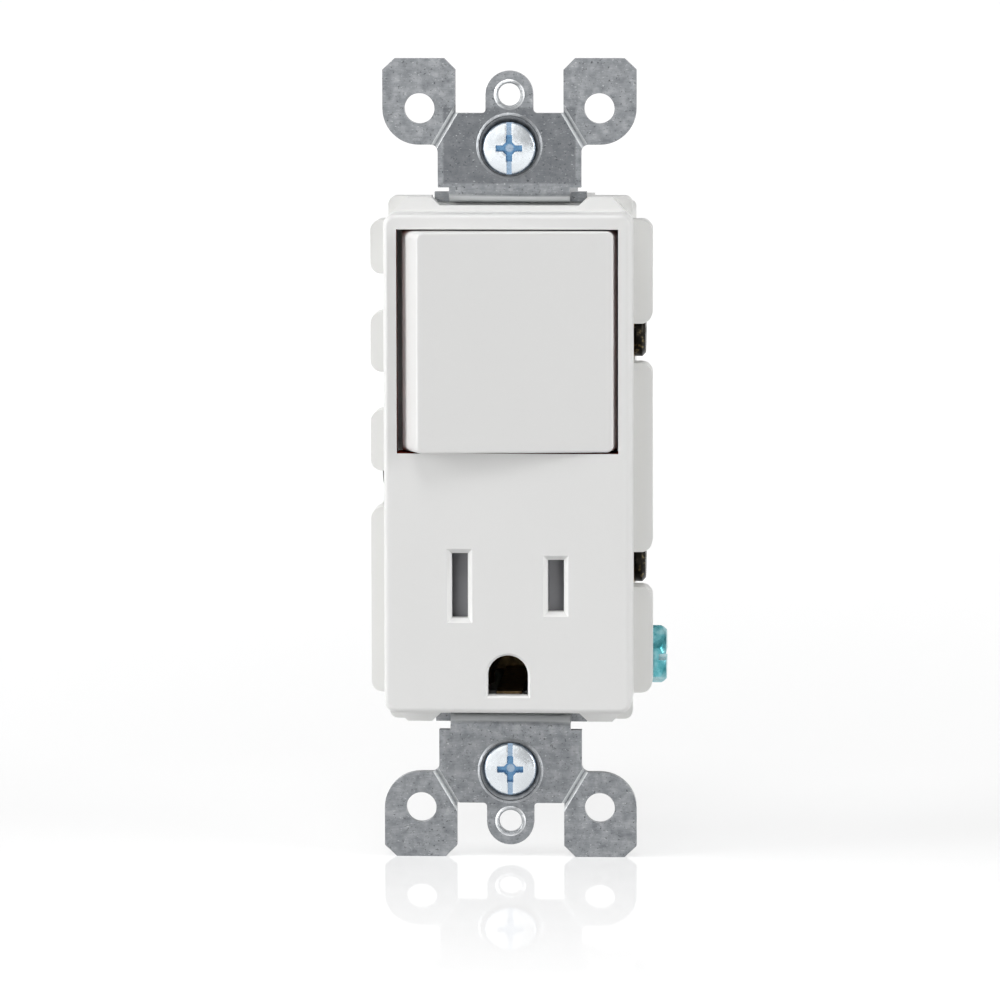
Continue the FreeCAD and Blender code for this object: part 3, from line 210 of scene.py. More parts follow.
def satin_white(name):
    """The plastic of face and rocker."""
    made, shader = material(name, FACE_WHITE, Roughness=0.34, IOR=1.54)
    roughen(made, shader, pattern(made, 0.35 * MM, 2.0), 0.004 * MM, 0.5)
    dull_by(made, shader, pattern(made, 9 * MM), 0.35, 0.65, 0.31, 0.37)
    return made, shader


rocker_white, shader = satin_white("thermoplastic_moulded_satin_white")
print("satin white", rocker_white.name)

# %% [markdown]
# The rocker's opening and the chamber behind it look dark brown, a thin line around the rocker.
# The brown is painted shade: the cover's white plastic is coloured dark brown where the gap lies in
# shade. Two boxes mark it: one for the walls of the opening and one for the chamber. There the
# plastic has no sheen, because a shine on the walls would break the line.

# %% Painted brown shade in the opening
SHADE_BROWN = "#7A2A16"
SHADE_RIM = 0.05 * MM
OPENING_DEEP = 3.2 * MM
OPENING_HALF_WIDE = 14.75 * MM
OPENING_HALF_DEEP = 2.85 * MM
CHAMBER_DEEP = 14.1 * MM
CHAMBER_HALF_DEEP = 12 * MM
CHAMBER_SPARE = 0.4 * MM

cover_white, shader = satin_white("thermoplastic_moulded_satin_white_painted_shade")
where = add(cover_white, "ShaderNodeTexCoord").outputs["Object"]
face_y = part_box("front_cover")[0][1]
opening_middle = (0, face_y + OPENING_DEEP, rocker_middle[2])
opening_half = (OPENING_HALF_WIDE, OPENING_HALF_DEEP, rocker_half[2])
opening = within(cover_white, where, opening_middle, opening_half, SHADE_RIM)
barrier_low, barrier_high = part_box("insulating_sheet")
barrier_middle, barrier_half = span(barrier_low, barrier_high)
chamber_middle = (0, face_y + CHAMBER_DEEP, barrier_middle[2])
chamber_half = (barrier_high[0] + CHAMBER_SPARE, CHAMBER_HALF_DEEP, barrier_half[2] + CHAMBER_SPARE)
chamber = within(cover_white, where, chamber_middle, chamber_half, SHADE_RIM)
# The painted brown shade covers the walls of the opening and the chamber.
painted_shade = add(cover_white, "ShaderNodeMath", {"operation": "MAXIMUM"}, {0: opening, 1: chamber})
tones = add(cover_white, "ShaderNodeMix", {"data_type": "RGBA", 6: FACE_WHITE, 7: SHADE_BROWN}, {0: painted_shade})
link(cover_white, tones, shader, "Base Color")
sheen = add(cover_white, "ShaderNodeMapRange", {"To Min": 0.5, "To Max": 0.0}, {"Value": painted_shade})
link(cover_white, sheen, shader, "Specular IOR Level")
print("lined cover", cover_white.name)

# %% [markdown]
# The rear housing is the same kind of plastic from a coarser mould: a little duller and warmer,
# with a grain of half a millimetre. Its part of the chamber gets the same painted brown shade.

# %% Dull white plastic
HOUSING_WHITE = "#ECECEA"

housing_white, shader = material(
    "thermoplastic_moulded_dull_white", HOUSING_WHITE, Roughness=0.42, IOR=1.54
)
roughen(housing_white, shader, pattern(housing_white, 0.5 * MM, 2.0), 0.008 * MM, 0.6)
where = add(housing_white, "ShaderNodeTexCoord").outputs["Object"]
# The housing's part of the chamber gets the same painted brown shade.
chamber = within(housing_white, where, chamber_middle, chamber_half, SHADE_RIM)
white_and_shade = {"data_type": "RGBA", 6: HOUSING_WHITE, 7: SHADE_BROWN}
tones = add(housing_white, "ShaderNodeMix", white_and_shade, {0: chamber})
link(housing_white, tones, shader, "Base Color")
print("housing", housing_white.name)

# %% [markdown]
# Shutters and plunger are a grey engineering plastic. The guide behind them is coloured dark as
# painted shade, so that a gap beside a shutter reads as depth. Both have the dull, fine grain of a
# small moulding.

# %% Grey plastics
grey, shader = material("polyamide_moulded_grey", "#9A9A9E", Roughness=0.5, IOR=1.53)
roughen(grey, shader, pattern(grey, 0.3 * MM), 0.005 * MM, 0.5)

# The guide's dark colour is painted shade for the gaps beside the shutters.
dark_guide, shader = material("polyamide_dark_painted_shade", "#303033", Roughness=0.55, IOR=1.53)
roughen(dark_guide, shader, pattern(dark_guide, 0.3 * MM), 0.006 * MM, 0.5)
print("grey plastics", grey.name, dark_guide.name)

# %% [markdown]
# The barrier and the screw washers are pressed fibre. It is matt, with flecks drawn out along
# the height of the sheet.

# %% Pressed fibre
fibre, shader = material("vulcanized_fibre_pressed", "#5A3C26", Roughness=0.72, IOR=1.5)
flecks = pattern(fibre, 0.5 * MM, 4.0, (1, 1, 4))
colour_by(fibre, shader, flecks, ((0.35, "#4A2F1C"), (0.65, "#6D4B31")))
roughen(fibre, shader, flecks, 0.01 * MM)
print("fibre", fibre.name)

# %% [markdown]
# The strap is hot-dip galvanized sheet.
# Small zinc crystals give patches of slightly different grey, cut through by short rolling
# streaks. Cells of a crystal texture alone have hard straight borders, so a noise warps them and
# a cloudy noise lies over them.

# %% Galvanized sheet
CRYSTAL = 0.7 * MM
WARP_SIZE = 0.8 * MM
WARP = 1.1 * MM
CRYSTAL_SHARE = 0.12
STREAK_SHARE = 0.4

galvanized, shader = material(
    "steel_sheet_hot_dip_galvanized", "#8F9295", Metallic=1.0, Roughness=0.4
)
where = add(galvanized, "ShaderNodeTexCoord").outputs["Object"]
rough_cloud = {"Scale": 1 / WARP_SIZE, "Detail": 4.0}
warp = add(galvanized, "ShaderNodeTexNoise", rough_cloud, {"Vector": where}).outputs["Color"]
shifted = {"operation": "MULTIPLY_ADD", 1: (WARP,) * 3}
shift = add(galvanized, "ShaderNodeVectorMath", shifted, {0: warp, 2: where})
crystals = add(galvanized, "ShaderNodeTexVoronoi", {"Scale": 1 / CRYSTAL}, {"Vector": shift})
crystals = add(galvanized, "ShaderNodeSeparateColor", links={"Color": crystals.outputs["Color"]})
cloud = pattern(galvanized, 1.3 * MM, 5.0)
streaks = pattern(galvanized, 1.1 * MM, 4.0, (1.0, 1.0, 6.0))
some = {"operation": "MULTIPLY_ADD", 1: CRYSTAL_SHARE}
patchy = add(galvanized, "ShaderNodeMath", some, {0: crystals.outputs["Red"], 2: cloud})
some = {"operation": "MULTIPLY_ADD", 1: STREAK_SHARE}
mottle = add(galvanized, "ShaderNodeMath", some, {0: streaks, 2: patchy})
stops = ((0.5, "#787B7F"), (0.76, "#8D9093"), (1.0, "#A2A4A7"))
tone = colour_by(galvanized, shader, mottle, stops)
dull_by(galvanized, shader, mottle, 0.5, 1.0, 0.34, 0.50)
print("galvanized sheet", galvanized.name)

# %% [markdown]
# The flat plates beside the mounting screws are coloured darker, more so at the top. A box mask
# marks each plate. A second box around each screw is kept for the next cell, where the edge of its
# countersink gets less of the painted highlight.

# %% Darker plates
PLATE_Y = -1.3 * MM
PLATE_HALF = (8.75 * MM, 1.0 * MM, 5.0 * MM)
PLATE_OFFSET = 0.35 * MM
RING_HALF = (5.3 * MM, 2.0 * MM, 5.3 * MM)
DARKER_TOP = 0.6
DARKER_LOW = 0.2

screw_z = span(*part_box("mounting_screw_top"))[0][2]
rings = []
for side, strength in ((1, DARKER_TOP), (-1, DARKER_LOW)):
    middle = (0, PLATE_Y, (screw_z + PLATE_OFFSET) * side)
    darker_plate = within(galvanized, where, middle, PLATE_HALF, 0.15 * MM)
    darker = add(galvanized, "ShaderNodeMath", {"operation": "MULTIPLY", 1: strength}, {0: darker_plate})
    tone = add(galvanized, "ShaderNodeMix", {"data_type": "RGBA", 7: "#5E6165"}, {0: darker, 6: tone})
    rings.append(within(galvanized, where, (0, PLATE_Y, screw_z * side), RING_HALF, 0.4 * MM))
print("plates at", round(screw_z / MM, 2), "mm above and below the middle")

# %% [markdown]
# Handling leaves fine dark pits and a few bright scuffs. Bent corners and cut edges get a painted
# highlight: a lighter colour where they catch the light. They are found from the direction that
# the surface faces: the flat front and the flat sides are left out, and so is the edge around each
# screw.

# %% Pits, scuffs and painted highlights on corners
pits = pattern(galvanized, 0.30 * MM)
deep = {"From Min": 0.62, "From Max": 0.72, "To Max": 0.8}
deep = add(galvanized, "ShaderNodeMapRange", deep, {"Value": pits})
pitted = add(galvanized, "ShaderNodeMix", {"data_type": "RGBA", 7: "#45474A"}, {0: deep, 6: tone})
scuffs = pattern(galvanized, 0.45 * MM, 2.0, (1.0, 1.0, 2.5))
rubbed = {"From Min": 0.64, "From Max": 0.76, "To Max": 0.6}
rubbed = add(galvanized, "ShaderNodeMapRange", rubbed, {"Value": scuffs})
scuffed = add(galvanized, "ShaderNodeMix", {"data_type": "RGBA", 7: "#D8DADB"}, {0: rubbed, 6: pitted})

# Painted highlight: bent corners and cut edges are coloured lighter, found from the way the surface
# faces.
facing = add(galvanized, "ShaderNodeNewGeometry").outputs["Normal"]
facing = add(galvanized, "ShaderNodeSeparateXYZ", links={"Vector": facing}).outputs["Y"]
facing = add(galvanized, "ShaderNodeMath", {"operation": "ABSOLUTE"}, {0: facing})
not_flat = {"From Min": 0.95, "From Max": 0.85, "To Max": 0.85}
not_flat = add(galvanized, "ShaderNodeMapRange", not_flat, {"Value": facing})
not_side = {"From Min": 0.10, "From Max": 0.30}
not_side = add(galvanized, "ShaderNodeMapRange", not_side, {"Value": facing})
ringed = add(galvanized, "ShaderNodeMath", {"operation": "MAXIMUM"}, {0: rings[0], 1: rings[1]})
apart = add(galvanized, "ShaderNodeMapRange", {"To Min": 1.0, "To Max": 0.25}, {"Value": ringed})
highlit_corners = add(galvanized, "ShaderNodeMath", {"operation": "MULTIPLY"}, {0: not_side, 1: apart})
highlit_corners = add(galvanized, "ShaderNodeMath", {"operation": "MULTIPLY"}, {0: not_flat, 1: highlit_corners})
tone = add(galvanized, "ShaderNodeMix", {"data_type": "RGBA", 7: "#DCDEDF"}, {0: highlit_corners, 6: scuffed})
link(galvanized, tone, shader, "Base Color")
relief = roughen(galvanized, shader, streaks, 0.012 * MM, 0.7)
roughen(galvanized, shader, pits, 0.012 * MM, 0.8, relief)
print("colour of the sheet from", len(galvanized.node_tree.nodes), "nodes")

# %% [markdown]
# The mounting screws are bright zinc. Their passivation looks blue where it gathers, deep in the
# recess of the head, so the colour follows the depth below the face. The middle of the recess is
# a small pale spot. A scratched roughness breaks up the reflections on the head.

# %% Bright zinc screws
RECESS_FLOOR = -1.45 * MM
RECESS_RIM = -1.95 * MM
HEAD_BACK = -0.7 * MM
SHANK_FRONT = -0.5 * MM
SPOT_EDGE = 0.45 * MM
SPOT_END = 0.6 * MM

zinc, shader = material("steel_bright_zinc_plated", "#DDE2E6", Metallic=1.0, Roughness=0.2)
where = add(zinc, "ShaderNodeTexCoord").outputs["Object"]
where = add(zinc, "ShaderNodeSeparateXYZ", links={"Vector": where}).outputs
gathered = {"From Min": RECESS_RIM, "From Max": RECESS_FLOOR, "To Max": 0.85}
gathered = add(zinc, "ShaderNodeMapRange", gathered, {"Value": where["Y"]})
head = {"From Min": HEAD_BACK, "From Max": SHANK_FRONT, "To Min": 1.0, "To Max": 0.0}
head = add(zinc, "ShaderNodeMapRange", head, {"Value": where["Y"]})
gathered = add(zinc, "ShaderNodeMath", {"operation": "MULTIPLY"}, {0: gathered, 1: head})
up = add(zinc, "ShaderNodeMath", {"operation": "ABSOLUTE"}, {0: where["Z"]})
up = add(zinc, "ShaderNodeMath", {"operation": "SUBTRACT", 1: screw_z}, {0: up})
off_axis = add(zinc, "ShaderNodeCombineXYZ", links={"X": where["X"], "Z": up})
off_axis = add(zinc, "ShaderNodeVectorMath", {"operation": "LENGTH"}, {0: off_axis})
spot = {"From Min": SPOT_EDGE, "From Max": SPOT_END, "To Min": 0.9, "To Max": 0.0}
spot = add(zinc, "ShaderNodeMapRange", spot, {"Value": off_axis})
bluish = {"data_type": "RGBA", 6: "#DADFE3", 7: "#2C74A4"}
bluish = add(zinc, "ShaderNodeMix", bluish, {0: gathered})
pale = add(zinc, "ShaderNodeMix", {"data_type": "RGBA", 7: "#9FB0C2"}, {0: spot, 6: bluish})
link(zinc, pale, shader, "Base Color")
scratches = pattern(zinc, 0.5 * MM, 4.0)
dull_by(zinc, shader, scratches, 0.3, 0.7, 0.12, 0.32)
roughen(zinc, shader, scratches, 0.035 * MM, 0.9)
print("bright zinc", zinc.name)

# %% [markdown]
# The assembly screws, the rivets, one terminal screw and its clamp have plain dull zinc.

# %% Dull zinc
plain_zinc, shader = material("steel_zinc_plated_dull", "#B9BDC0", Metallic=1.0, Roughness=0.33)
roughen(plain_zinc, shader, pattern(plain_zinc, 0.5 * MM, 4.0), 0.008 * MM, 0.6)
print("dull zinc", plain_zinc.name)

# %% [markdown]
# The dark terminal screws are coloured near black, with a few lighter brass-toned flecks.
# The earth screw is zinc with a green dye, which lies in patches of a paler and a deeper tone.

# %% Dark and green screws
dark_screw, shader = material("steel_near_black", "#26231F", Metallic=0.9, Roughness=0.34)
specks = pattern(dark_screw, 0.7 * MM, 5.0)
stops = ((0.4, "#15130F"), (0.58, "#2C2924"), (0.72, "#8A7A55"))
colour_by(dark_screw, shader, specks, stops)
roughen(dark_screw, shader, specks, 0.01 * MM, 0.6)

green_screw, shader = material("steel_zinc_plated_green_dyed", "#58A4AC", Metallic=1.0, Roughness=0.26)
patches = pattern(green_screw, 1.6 * MM, 4.0)
stops = ((0.3, "#3F8E96"), (0.52, "#6BB4BD"), (0.75, "#B4E0E6"))
colour_by(green_screw, shader, patches, stops)
dull_by(green_screw, shader, patches, 0.3, 0.7, 0.2, 0.36)
roughen(green_screw, shader, pattern(green_screw, 0.35 * MM, 4.0), 0.008 * MM, 0.6)
print("dark and green screws", dark_screw.name, green_screw.name)

# %% [markdown]
# Current-carrying plates are rolled brass, with streaks along the sheet. The earth contact at
# the bottom of its hole has tarnished to a dull brown. The contact buttons are fine silver, and
# the springs drawn steel wire.

# %% Brass, silver and spring steel
brass, shader = material("brass_rolled", "#D3B06A", Metallic=1.0, Roughness=0.3)
rolled = pattern(brass, 0.8 * MM, 3.0, (1.0, 1.0, 6.0))
colour_by(brass, shader, rolled, ((0.35, "#BF9A55"), (0.65, "#DDBD7C")))
roughen(brass, shader, rolled, 0.004 * MM, 0.6)

tarnished, shader = material("brass_rolled_tarnished", "#5F4E35", Metallic=1.0, Roughness=0.42)
stain = pattern(tarnished, 0.9 * MM, 4.0)
colour_by(tarnished, shader, stain, ((0.35, "#5C4C36"), (0.7, "#927C56")))
roughen(tarnished, shader, stain, 0.006 * MM, 0.6)

silver, shader = material("silver_pressed", "#E3E1DC", Metallic=1.0, Roughness=0.24)
roughen(silver, shader, pattern(silver, 0.4 * MM), 0.004 * MM, 0.5)

wire, shader = material("spring_steel_drawn", "#8E8F92", Metallic=1.0, Roughness=0.3)
roughen(wire, shader, pattern(wire, 0.2 * MM), 0.003 * MM, 0.5)
print("metals", brass.name, tarnished.name, silver.name, wire.name)

# %% [markdown]
# Each piece of the frame gets the material of its group. The loop stops on a piece that was
# forgotten, since every node has to be in one of the groups.

# %% Give the pieces their materials
GROUPS = (
    (cover_white, ("front_cover",)),
    (rocker_white, ("rocker",)),
    (housing_white, ("rear_housing",)),
    (grey, ("plunger", "shutter_neutral", "shutter_live")),
    (dark_guide, ("shutter_guide",)),
    (fibre, ("insulating_sheet", "screw_washer_top", "screw_washer_low")),
    (galvanized, ("strap",)),
    (zinc, ("mounting_screw_top", "mounting_screw_low")),
    (plain_zinc, (
        "assembly_screws", "terminal_screw_neutral", "clamp_neutral", "earth_rivet", "strap_rivet",
    )),
    (dark_screw, ("terminal_screw_live_top", "terminal_screw_live_low", "terminal_screw_load")),
    (green_screw, ("earth_screw",)),
    (brass, (
        "clamp_live_top", "clamp_live_low", "clamp_load", "live_plate", "neutral_plate",
        "load_plate", "seesaw",
    )),
    (tarnished, ("earth_contact",)),
    (silver, ("seesaw_contact", "fixed_contact")),
    (wire, ("plunger_spring", "shutter_spring_neutral", "shutter_spring_live")),
)
left = set(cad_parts)
for finish, names in GROUPS:
    for name in names:
        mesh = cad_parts[name].data
        mesh.materials.clear()
        mesh.materials.append(finish)
        left.discard(name)
if left:
    raise SystemExit("no material for " + ", ".join(sorted(left)))
print("materials given to", sum(len(names) for _, names in GROUPS), "pieces")

# %% [markdown]
# No real edge is perfectly sharp. A weld joins the split corners of the imported mesh, and a
# narrow bevel then rounds the edges, so that they catch the light as in the photo. Mouldings
# have rounder edges than sheet, and sheet rounder ones than screws.

# %% Fine edges
EDGE_WIDTH = (
    (0.16 * MM, ("front_cover", "rear_housing")),
    (0.12 * MM, ("strap", "earth_screw", "shutter_neutral", "shutter_live")),
    (0.08 * MM, (
        "mounting_screw_top", "mounting_screw_low", "terminal_screw_live_top",
        "terminal_screw_live_low", "terminal_screw_load", "terminal_screw_neutral",
        "clamp_live_top", "clamp_live_low", "clamp_load", "clamp_neutral",
        "live_plate", "neutral_plate", "load_plate", "earth_contact", "seesaw",
    )),
)
EDGE_ANGLE = math.radians(32)
WELD_REACH = 0.001 * MM

for width, names in EDGE_WIDTH:
    for name in names:
        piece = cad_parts[name]
        weld = piece.modifiers.new("weld", "WELD")
        weld.merge_threshold = WELD_REACH
        bevel = piece.modifiers.new("bevel", "BEVEL")
        bevel.width = width
        bevel.segments = 2
        bevel.limit_method = "ANGLE"
        bevel.angle_limit = EDGE_ANGLE
        bevel.harden_normals = True
print("bevelled", sum(len(names) for _, names in EDGE_WIDTH), "pieces")

# %% [markdown]
# A thread and a spring are both a small outline carried around an axis. The outline is given
# as a ring of points for each step, and a function joins neighbouring rings with faces and
# closes both ends.

# %% Meshes from rings
STEPS_A_TURN = 24


def skin(name, rings, finish, smooth):
    """A closed piece from rings of points, all of the same count."""
    mesh = bmesh.new()
    loops = [[mesh.verts.new(point) for point in ring] for ring in rings]
    count = len(loops[0])
    for a, b in zip(loops, loops[1:]):
        for k in range(count):
            m = (k + 1) % count
            mesh.faces.new((a[k], a[m], b[m], b[k]))
    mesh.faces.new(loops[0][::-1])
    mesh.faces.new(loops[-1])
    bmesh.ops.recalc_face_normals(mesh, faces=mesh.faces)
    data = bpy.data.meshes.new(name)
    mesh.to_mesh(data)
    mesh.free()
    for face in data.polygons:
        face.use_smooth = smooth
    data.materials.append(finish)
    piece = bpy.data.objects.new(name, data)
    bpy.context.scene.collection.objects.link(piece)
    return piece


print("a turn has", STEPS_A_TURN, "steps")

# %% [markdown]
# The shanks of the screws are plain in the frame. Each gets a helical ridge with the pitch of
# its thread, low enough to stay close to the shank, and it rides on the body of its screw.

# %% Screw threads
SHANK = 1.7 * MM
CREST = 1.79 * MM
PITCH = 0.794 * MM
ROOT_BELOW = 0.08 * MM
FADED_BELOW = 0.05 * MM
FADE_STEPS = 6


def thread(name, body, start, end, finish):
    """A helical ridge around the line from start to end."""
    start, end = Vector(start), Vector(end)
    run = end - start
    turn = run.to_track_quat("Z", "Y").to_matrix().to_4x4()
    onto_axis = Matrix.Translation(start) @ turn
    count = int(run.length / PITCH * STEPS_A_TURN)
    root = SHANK - ROOT_BELOW
    faded = SHANK - FADED_BELOW
    rings = []
    for i in range(count + 1):
        angle = 2 * math.pi * i / STEPS_A_TURN
        rise = PITCH * i / STEPS_A_TURN
        fade = min(1.0, i / FADE_STEPS, (count - i) / FADE_STEPS)
        crest = faded + (CREST - faded) * fade
        ring = []
        for radius, lift in ((root, -0.3), (crest, -0.06), (crest, 0.06), (root, 0.3)):
            point = (radius * math.cos(angle), radius * math.sin(angle), rise + lift * PITCH)
            ring.append(onto_axis @ Vector(point))
        rings.append(ring)
    piece = skin(name, rings, finish, False)
    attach(piece, body)
    return piece


print("thread pitch", PITCH / MM, "mm")

# %% [markdown]
# A mounting screw points backwards, a terminal screw inwards from its side. The ends of each
# thread come from the box of its screw and from where the shank is held.

# %% Threads on their screws
MOUNTING_START = 1.3 * MM
MOUNTING_TIP = 1.2 * MM
TERMINAL_TIP = 0.8 * MM
TERMINAL_STOP = 14.9 * MM
EARTH_STOP = 17.2 * MM
TERMINALS = (
    ("terminal_screw_live_top", "terminal_live_top"),
    ("terminal_screw_live_low", "terminal_live_low"),
    ("terminal_screw_load", "terminal_load"),
    ("terminal_screw_neutral", "terminal_neutral"),
)

threads = []
for place in ("top", "low"):
    name = "mounting_screw_" + place
    low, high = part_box(name)
    height = (low[2] + high[2]) / 2
    begin = (0, MOUNTING_START, height)
    stop = (0, high[1] - MOUNTING_TIP, height)
    threads.append(thread("thread_mounting_" + place, name, begin, stop, zinc))
for name, body in TERMINALS:
    low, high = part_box(name)
    side = 1 if high[0] > 0 else -1
    middle = span(low, high)[0]
    tip = min(abs(low[0]), abs(high[0])) * side
    begin = (tip + TERMINAL_TIP * side, middle[1], middle[2])
    stop = (TERMINAL_STOP * side, middle[1], middle[2])
    finish, slot = (plain_zinc, "zinc_screw") if "neutral" in name else (dark_screw, "dark_screw")
    threads.append(thread("thread_" + name, body, begin, stop, finish))
low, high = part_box("earth_screw")
middle = span(low, high)[0]
begin = (low[0] + TERMINAL_TIP, middle[1], middle[2])
stop = (EARTH_STOP, middle[1], middle[2])
threads.append(thread("thread_earth", "earth_screw", begin, stop, green_screw))
print("threads", len(threads), "with", sum(len(t.data.polygons) for t in threads), "faces")

# %% [markdown]
# The springs of the frame are coils with few facets. The ones drawn here stand for them, with
# round wire and closed ends. Near its ends a coil rises more slowly, as the closed turns of a real
# one do.

# %% A compression spring
WIRE_SIDES = 8
END_CLOSING = 0.5


def spring(name, body, start, run, outer, wire_radius, turns):
    """A compression spring from its fixed end along a vector."""
    start, run = Vector(start), Vector(run)
    turn = run.to_track_quat("Z", "Y").to_matrix()
    rise = run.length - 2 * wire_radius
    radius = outer - wire_radius
    count = turns * STEPS_A_TURN
    rings = []
    for i in range(count + 1):
        share = i / count
        angle = 2 * math.pi * i / STEPS_A_TURN
        closing = END_CLOSING * math.sin(2 * math.pi * share) / (2 * math.pi)
        lift = wire_radius + rise * (share - closing)
        out = Vector((math.cos(angle), math.sin(angle), 0))
        ring = []
        for k in range(WIRE_SIDES):
            around = 2 * math.pi * k / WIRE_SIDES
            point = out * (radius + wire_radius * math.cos(around))
            point = point + Vector((0, 0, lift + wire_radius * math.sin(around)))
            ring.append(start + turn @ point)
        rings.append(ring)
    piece = skin(name, rings, wire, True)
    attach(piece, body)
    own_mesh(piece)
    return piece


print("spring wire has", WIRE_SIDES, "sides")

# %% [markdown]
# Each shutter has a spring that lies across, fixed at its inner end. The plunger's spring lies
# in the rocker and follows it. It is tilted at rest, since the rocker is, so its length comes
# from its box and that angle.

# %% Springs in their places
SHUTTER_WIRE = 0.13 * MM
SHUTTER_TURNS = 4
PLUNGER_WIRE = 0.2 * MM
PLUNGER_TURNS = 5
REST_TILT = math.radians(6.5)

coils = []
for pole in ("neutral", "live"):
    low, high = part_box("shutter_spring_" + pole)
    middle, half = span(low, high)
    fixed, pressed = sorted((low[0], high[0]), key=abs)
    coil = spring(
        "coil_shutter_" + pole, "base", (fixed, middle[1], middle[2]),
        (pressed - fixed, 0, 0), half[2], SHUTTER_WIRE, SHUTTER_TURNS,
    )
    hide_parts("shutter_spring_" + pole)
    coils.append(coil)
low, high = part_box("plunger_spring")
middle, half = span(low, high)
length = (high[1] - low[1] - 2 * half[2] * math.sin(REST_TILT)) / math.cos(REST_TILT)
run = Vector((-math.sin(REST_TILT), math.cos(REST_TILT), 0)) * length
coil = spring(
    "coil_plunger", "rocker", Vector(middle) - run / 2, run, half[2],
    PLUNGER_WIRE, PLUNGER_TURNS,
)
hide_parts("plunger_spring")
coils.append(coil)
print("springs", len(coils), "with", sum(len(c.data.polygons) for c in coils), "faces")

# %% [markdown]
# The device stands on its lower ears on a white sheet, polished where it stands, which shows a
# faint reflection. The sheet glows a little near the part and fully further off, so that the
# background is white while the shadow under the part is kept. Only the camera and reflections
# see the glow, so it doesn't light the part from below.

# %% Polished sheet
SHEET_NEAR = 0.12
SHEET_FAR = 0.7
POLISH_FRONT = -0.14

paper, shader = material("acrylic_sheet_polished_white", "#C9C9C9", Roughness=0.6, IOR=1.45)
shader.inputs["Specular IOR Level"].default_value = 0.0
where = add(paper, "ShaderNodeTexCoord").outputs["Object"]
away = add(paper, "ShaderNodeVectorMath", {"operation": "LENGTH"}, {0: where})
bright = {"From Min": SHEET_NEAR, "From Max": SHEET_FAR, "To Min": 0.68, "To Max": 1.05}
bright = add(paper, "ShaderNodeMapRange", bright, {"Value": away})
seen_by = add(paper, "ShaderNodeLightPath").outputs
seen_by = {0: seen_by["Is Camera Ray"], 1: seen_by["Is Glossy Ray"]}
shown = add(paper, "ShaderNodeMath", {"operation": "MAXIMUM"}, seen_by)
shown = add(paper, "ShaderNodeMath", {"operation": "MULTIPLY"}, {0: shown, 1: bright})
glow = add(paper, "ShaderNodeEmission", {"Color": "#FFFFFF"}, {"Strength": shown})
matt = add(paper, "ShaderNodeAddShader", links={0: shader, 1: glow})
front_way = add(paper, "ShaderNodeSeparateXYZ", links={"Vector": where}).outputs["Y"]
polish = {"From Min": POLISH_FRONT, "From Max": 0.0, "To Max": 0.34}
polish = add(paper, "ShaderNodeMapRange", polish, {"Value": front_way})
gloss = add(paper, "ShaderNodeBsdfAnisotropic", {"Roughness": 0.04})
both = add(paper, "ShaderNodeMixShader", links={0: polish, 1: matt, 2: gloss})
link(paper, both, paper.node_tree.nodes["Material Output"], "Surface")
print("sheet material", paper.name)

# %% [markdown]
# The sheet is flat under the part and curves up far behind, so that no horizon shows. Its
# profile is a line, an arc and a line, drawn once and stretched across the width.

# %% Floor and background
SHEET_FRONT = -3.0
SHEET_BEND = 4.0
BEND_RADIUS = 1.5
SHEET_HEIGHT = 4.0
SHEET_HALF_WIDTH = 4.0
UNDER_PART = 0.02 * MM

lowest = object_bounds()[0][2]
profile = [(SHEET_FRONT, 0.0), (SHEET_BEND, 0.0)]
for angle in range(10, 91, 10):
    sine, cosine = math.sin(math.radians(angle)), math.cos(math.radians(angle))
    profile.append((SHEET_BEND + BEND_RADIUS * sine, BEND_RADIUS - BEND_RADIUS * cosine))
profile.append((SHEET_BEND + BEND_RADIUS, SHEET_HEIGHT))
sheet = bmesh.new()
rows = []
for y, z in profile:
    edges = (-SHEET_HALF_WIDTH, SHEET_HALF_WIDTH)
    rows.append([sheet.verts.new((x, y, lowest - UNDER_PART + z)) for x in edges])
for a, b in zip(rows, rows[1:]):
    sheet.faces.new((a[0], a[1], b[1], b[0]))
data = bpy.data.meshes.new("white_sheet")
sheet.to_mesh(data)
sheet.free()
for face in data.polygons:
    face.use_smooth = True
data.materials.append(paper)
floor = bpy.data.objects.new("white_sheet", data)
bpy.context.scene.collection.objects.link(floor)
print("floor at", round(lowest / MM, 2), "mm")

# %% [markdown]
# The light is soft: a large panel on the left, a weaker one on the right, one high above the
# front that draws the shadow under the rocker, and a faint one in front.

# %% Lights
PANELS = (
    ("left_panel", (-1.12, -0.38, 0.30), (0.6, 1.0), 12.8),
    ("right_panel", (1.15, -0.45, 0.15), (0.6, 1.0), 11.0),
    ("top_panel", (-0.1, -0.6, 1.1), (0.6, 0.45), 4.7),
    ("front_panel", (-0.25, -1.4, 0.75), (1.0, 0.7), 0.8),
)


def panel(name, place, size, power):
    """A soft rectangular panel aimed at the part, with its power in watts."""
    data = bpy.data.lights.new(name, "AREA")
    data.shape = "RECTANGLE"
    data.size, data.size_y = size
    data.energy = power
    item = bpy.data.objects.new(name, data)
    bpy.context.scene.collection.objects.link(item)
    item.location = place
    item.rotation_euler = (-Vector(place)).to_track_quat("-Z", "Y").to_euler()


for values in PANELS:
    panel(*values)

# %% [markdown]
# The world is white for the camera, brighter on the left than on the right in reflections, and
# sheds only a little light. Metals show mostly what they mirror, and that slope is what gives
# the strap and the screws their lighter and darker sides.

# %% World
SHED_LIGHT = 0.10

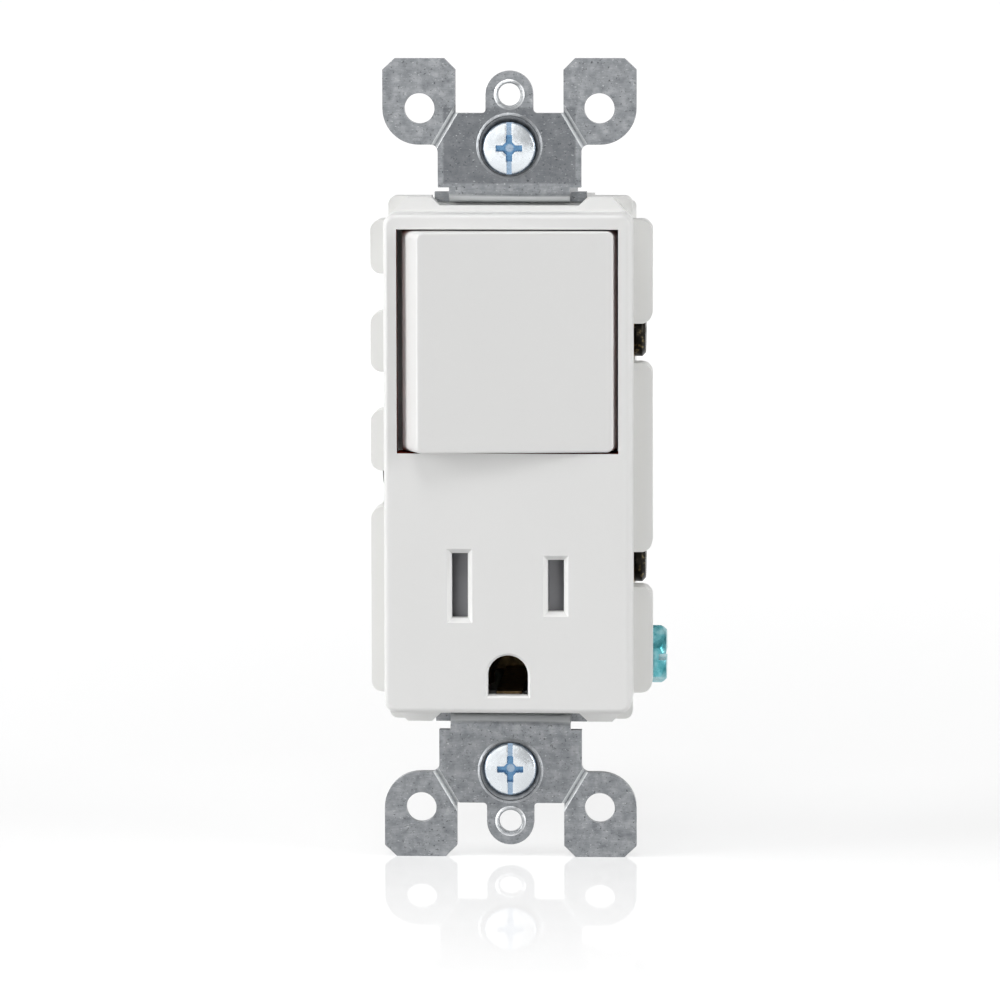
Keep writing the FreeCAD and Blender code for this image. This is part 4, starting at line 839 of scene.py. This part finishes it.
world = bpy.data.worlds.new("studio")
bpy.context.scene.world = world
world.use_nodes = True
studio_light = world.node_tree.nodes["Background"]
studio_light.inputs["Color"].default_value = linear("#FFFFFF")
sideways = add(world, "ShaderNodeTexCoord").outputs["Generated"]
sideways = add(world, "ShaderNodeSeparateXYZ", links={"Vector": sideways}).outputs["X"]
mirrored = {"From Min": -0.6, "From Max": 0.6, "To Min": 1.3, "To Max": 0.45}
mirrored = add(world, "ShaderNodeMapRange", mirrored, {"Value": sideways})
seen_by = add(world, "ShaderNodeLightPath").outputs
glossy = {0: seen_by["Is Glossy Ray"], 1: mirrored}
mirrored = add(world, "ShaderNodeMath", {"operation": "MULTIPLY"}, glossy)
camera_too = {0: seen_by["Is Camera Ray"], 1: mirrored}
strength = add(world, "ShaderNodeMath", {"operation": "MAXIMUM"}, camera_too)
strength = add(world, "ShaderNodeMath", {"operation": "MAXIMUM", 1: SHED_LIGHT}, {0: strength})
link(world, strength, studio_light, "Strength")
print("world", world.name)

# %% [markdown]
# The camera was fitted to the photo: 900 mm away, 2.9 degrees to the right and 5.7 degrees up,
# with a long lens. The small shifts and the slight roll move the part to its place in the
# picture.

# %% Camera
AZIMUTH = math.radians(2.9)
ELEVATION = math.radians(5.7)
ROLL = math.radians(-0.11)
DISTANCE = 900 * MM

eye = Vector((
    DISTANCE * math.sin(AZIMUTH) * math.cos(ELEVATION),
    -DISTANCE * math.cos(AZIMUTH) * math.cos(ELEVATION),
    DISTANCE * math.sin(ELEVATION),
))
lens = bpy.data.cameras.new("camera")
lens.lens = 243.9
lens.sensor_width = 36.0
lens.shift_x = -0.0104
lens.shift_y = -0.0412
lens.clip_start = 0.05
lens.clip_end = 50.0
camera = bpy.data.objects.new("camera", lens)
bpy.context.scene.collection.objects.link(camera)
camera.location = eye
aim = (-eye).to_track_quat("-Z", "Y").to_matrix()
camera.rotation_euler = (aim @ Matrix.Rotation(ROLL, 3, "Z")).to_euler()
bpy.context.scene.camera = camera
bpy.context.scene.view_settings.view_transform = "Standard"
print("camera at", [round(v, 3) for v in eye])
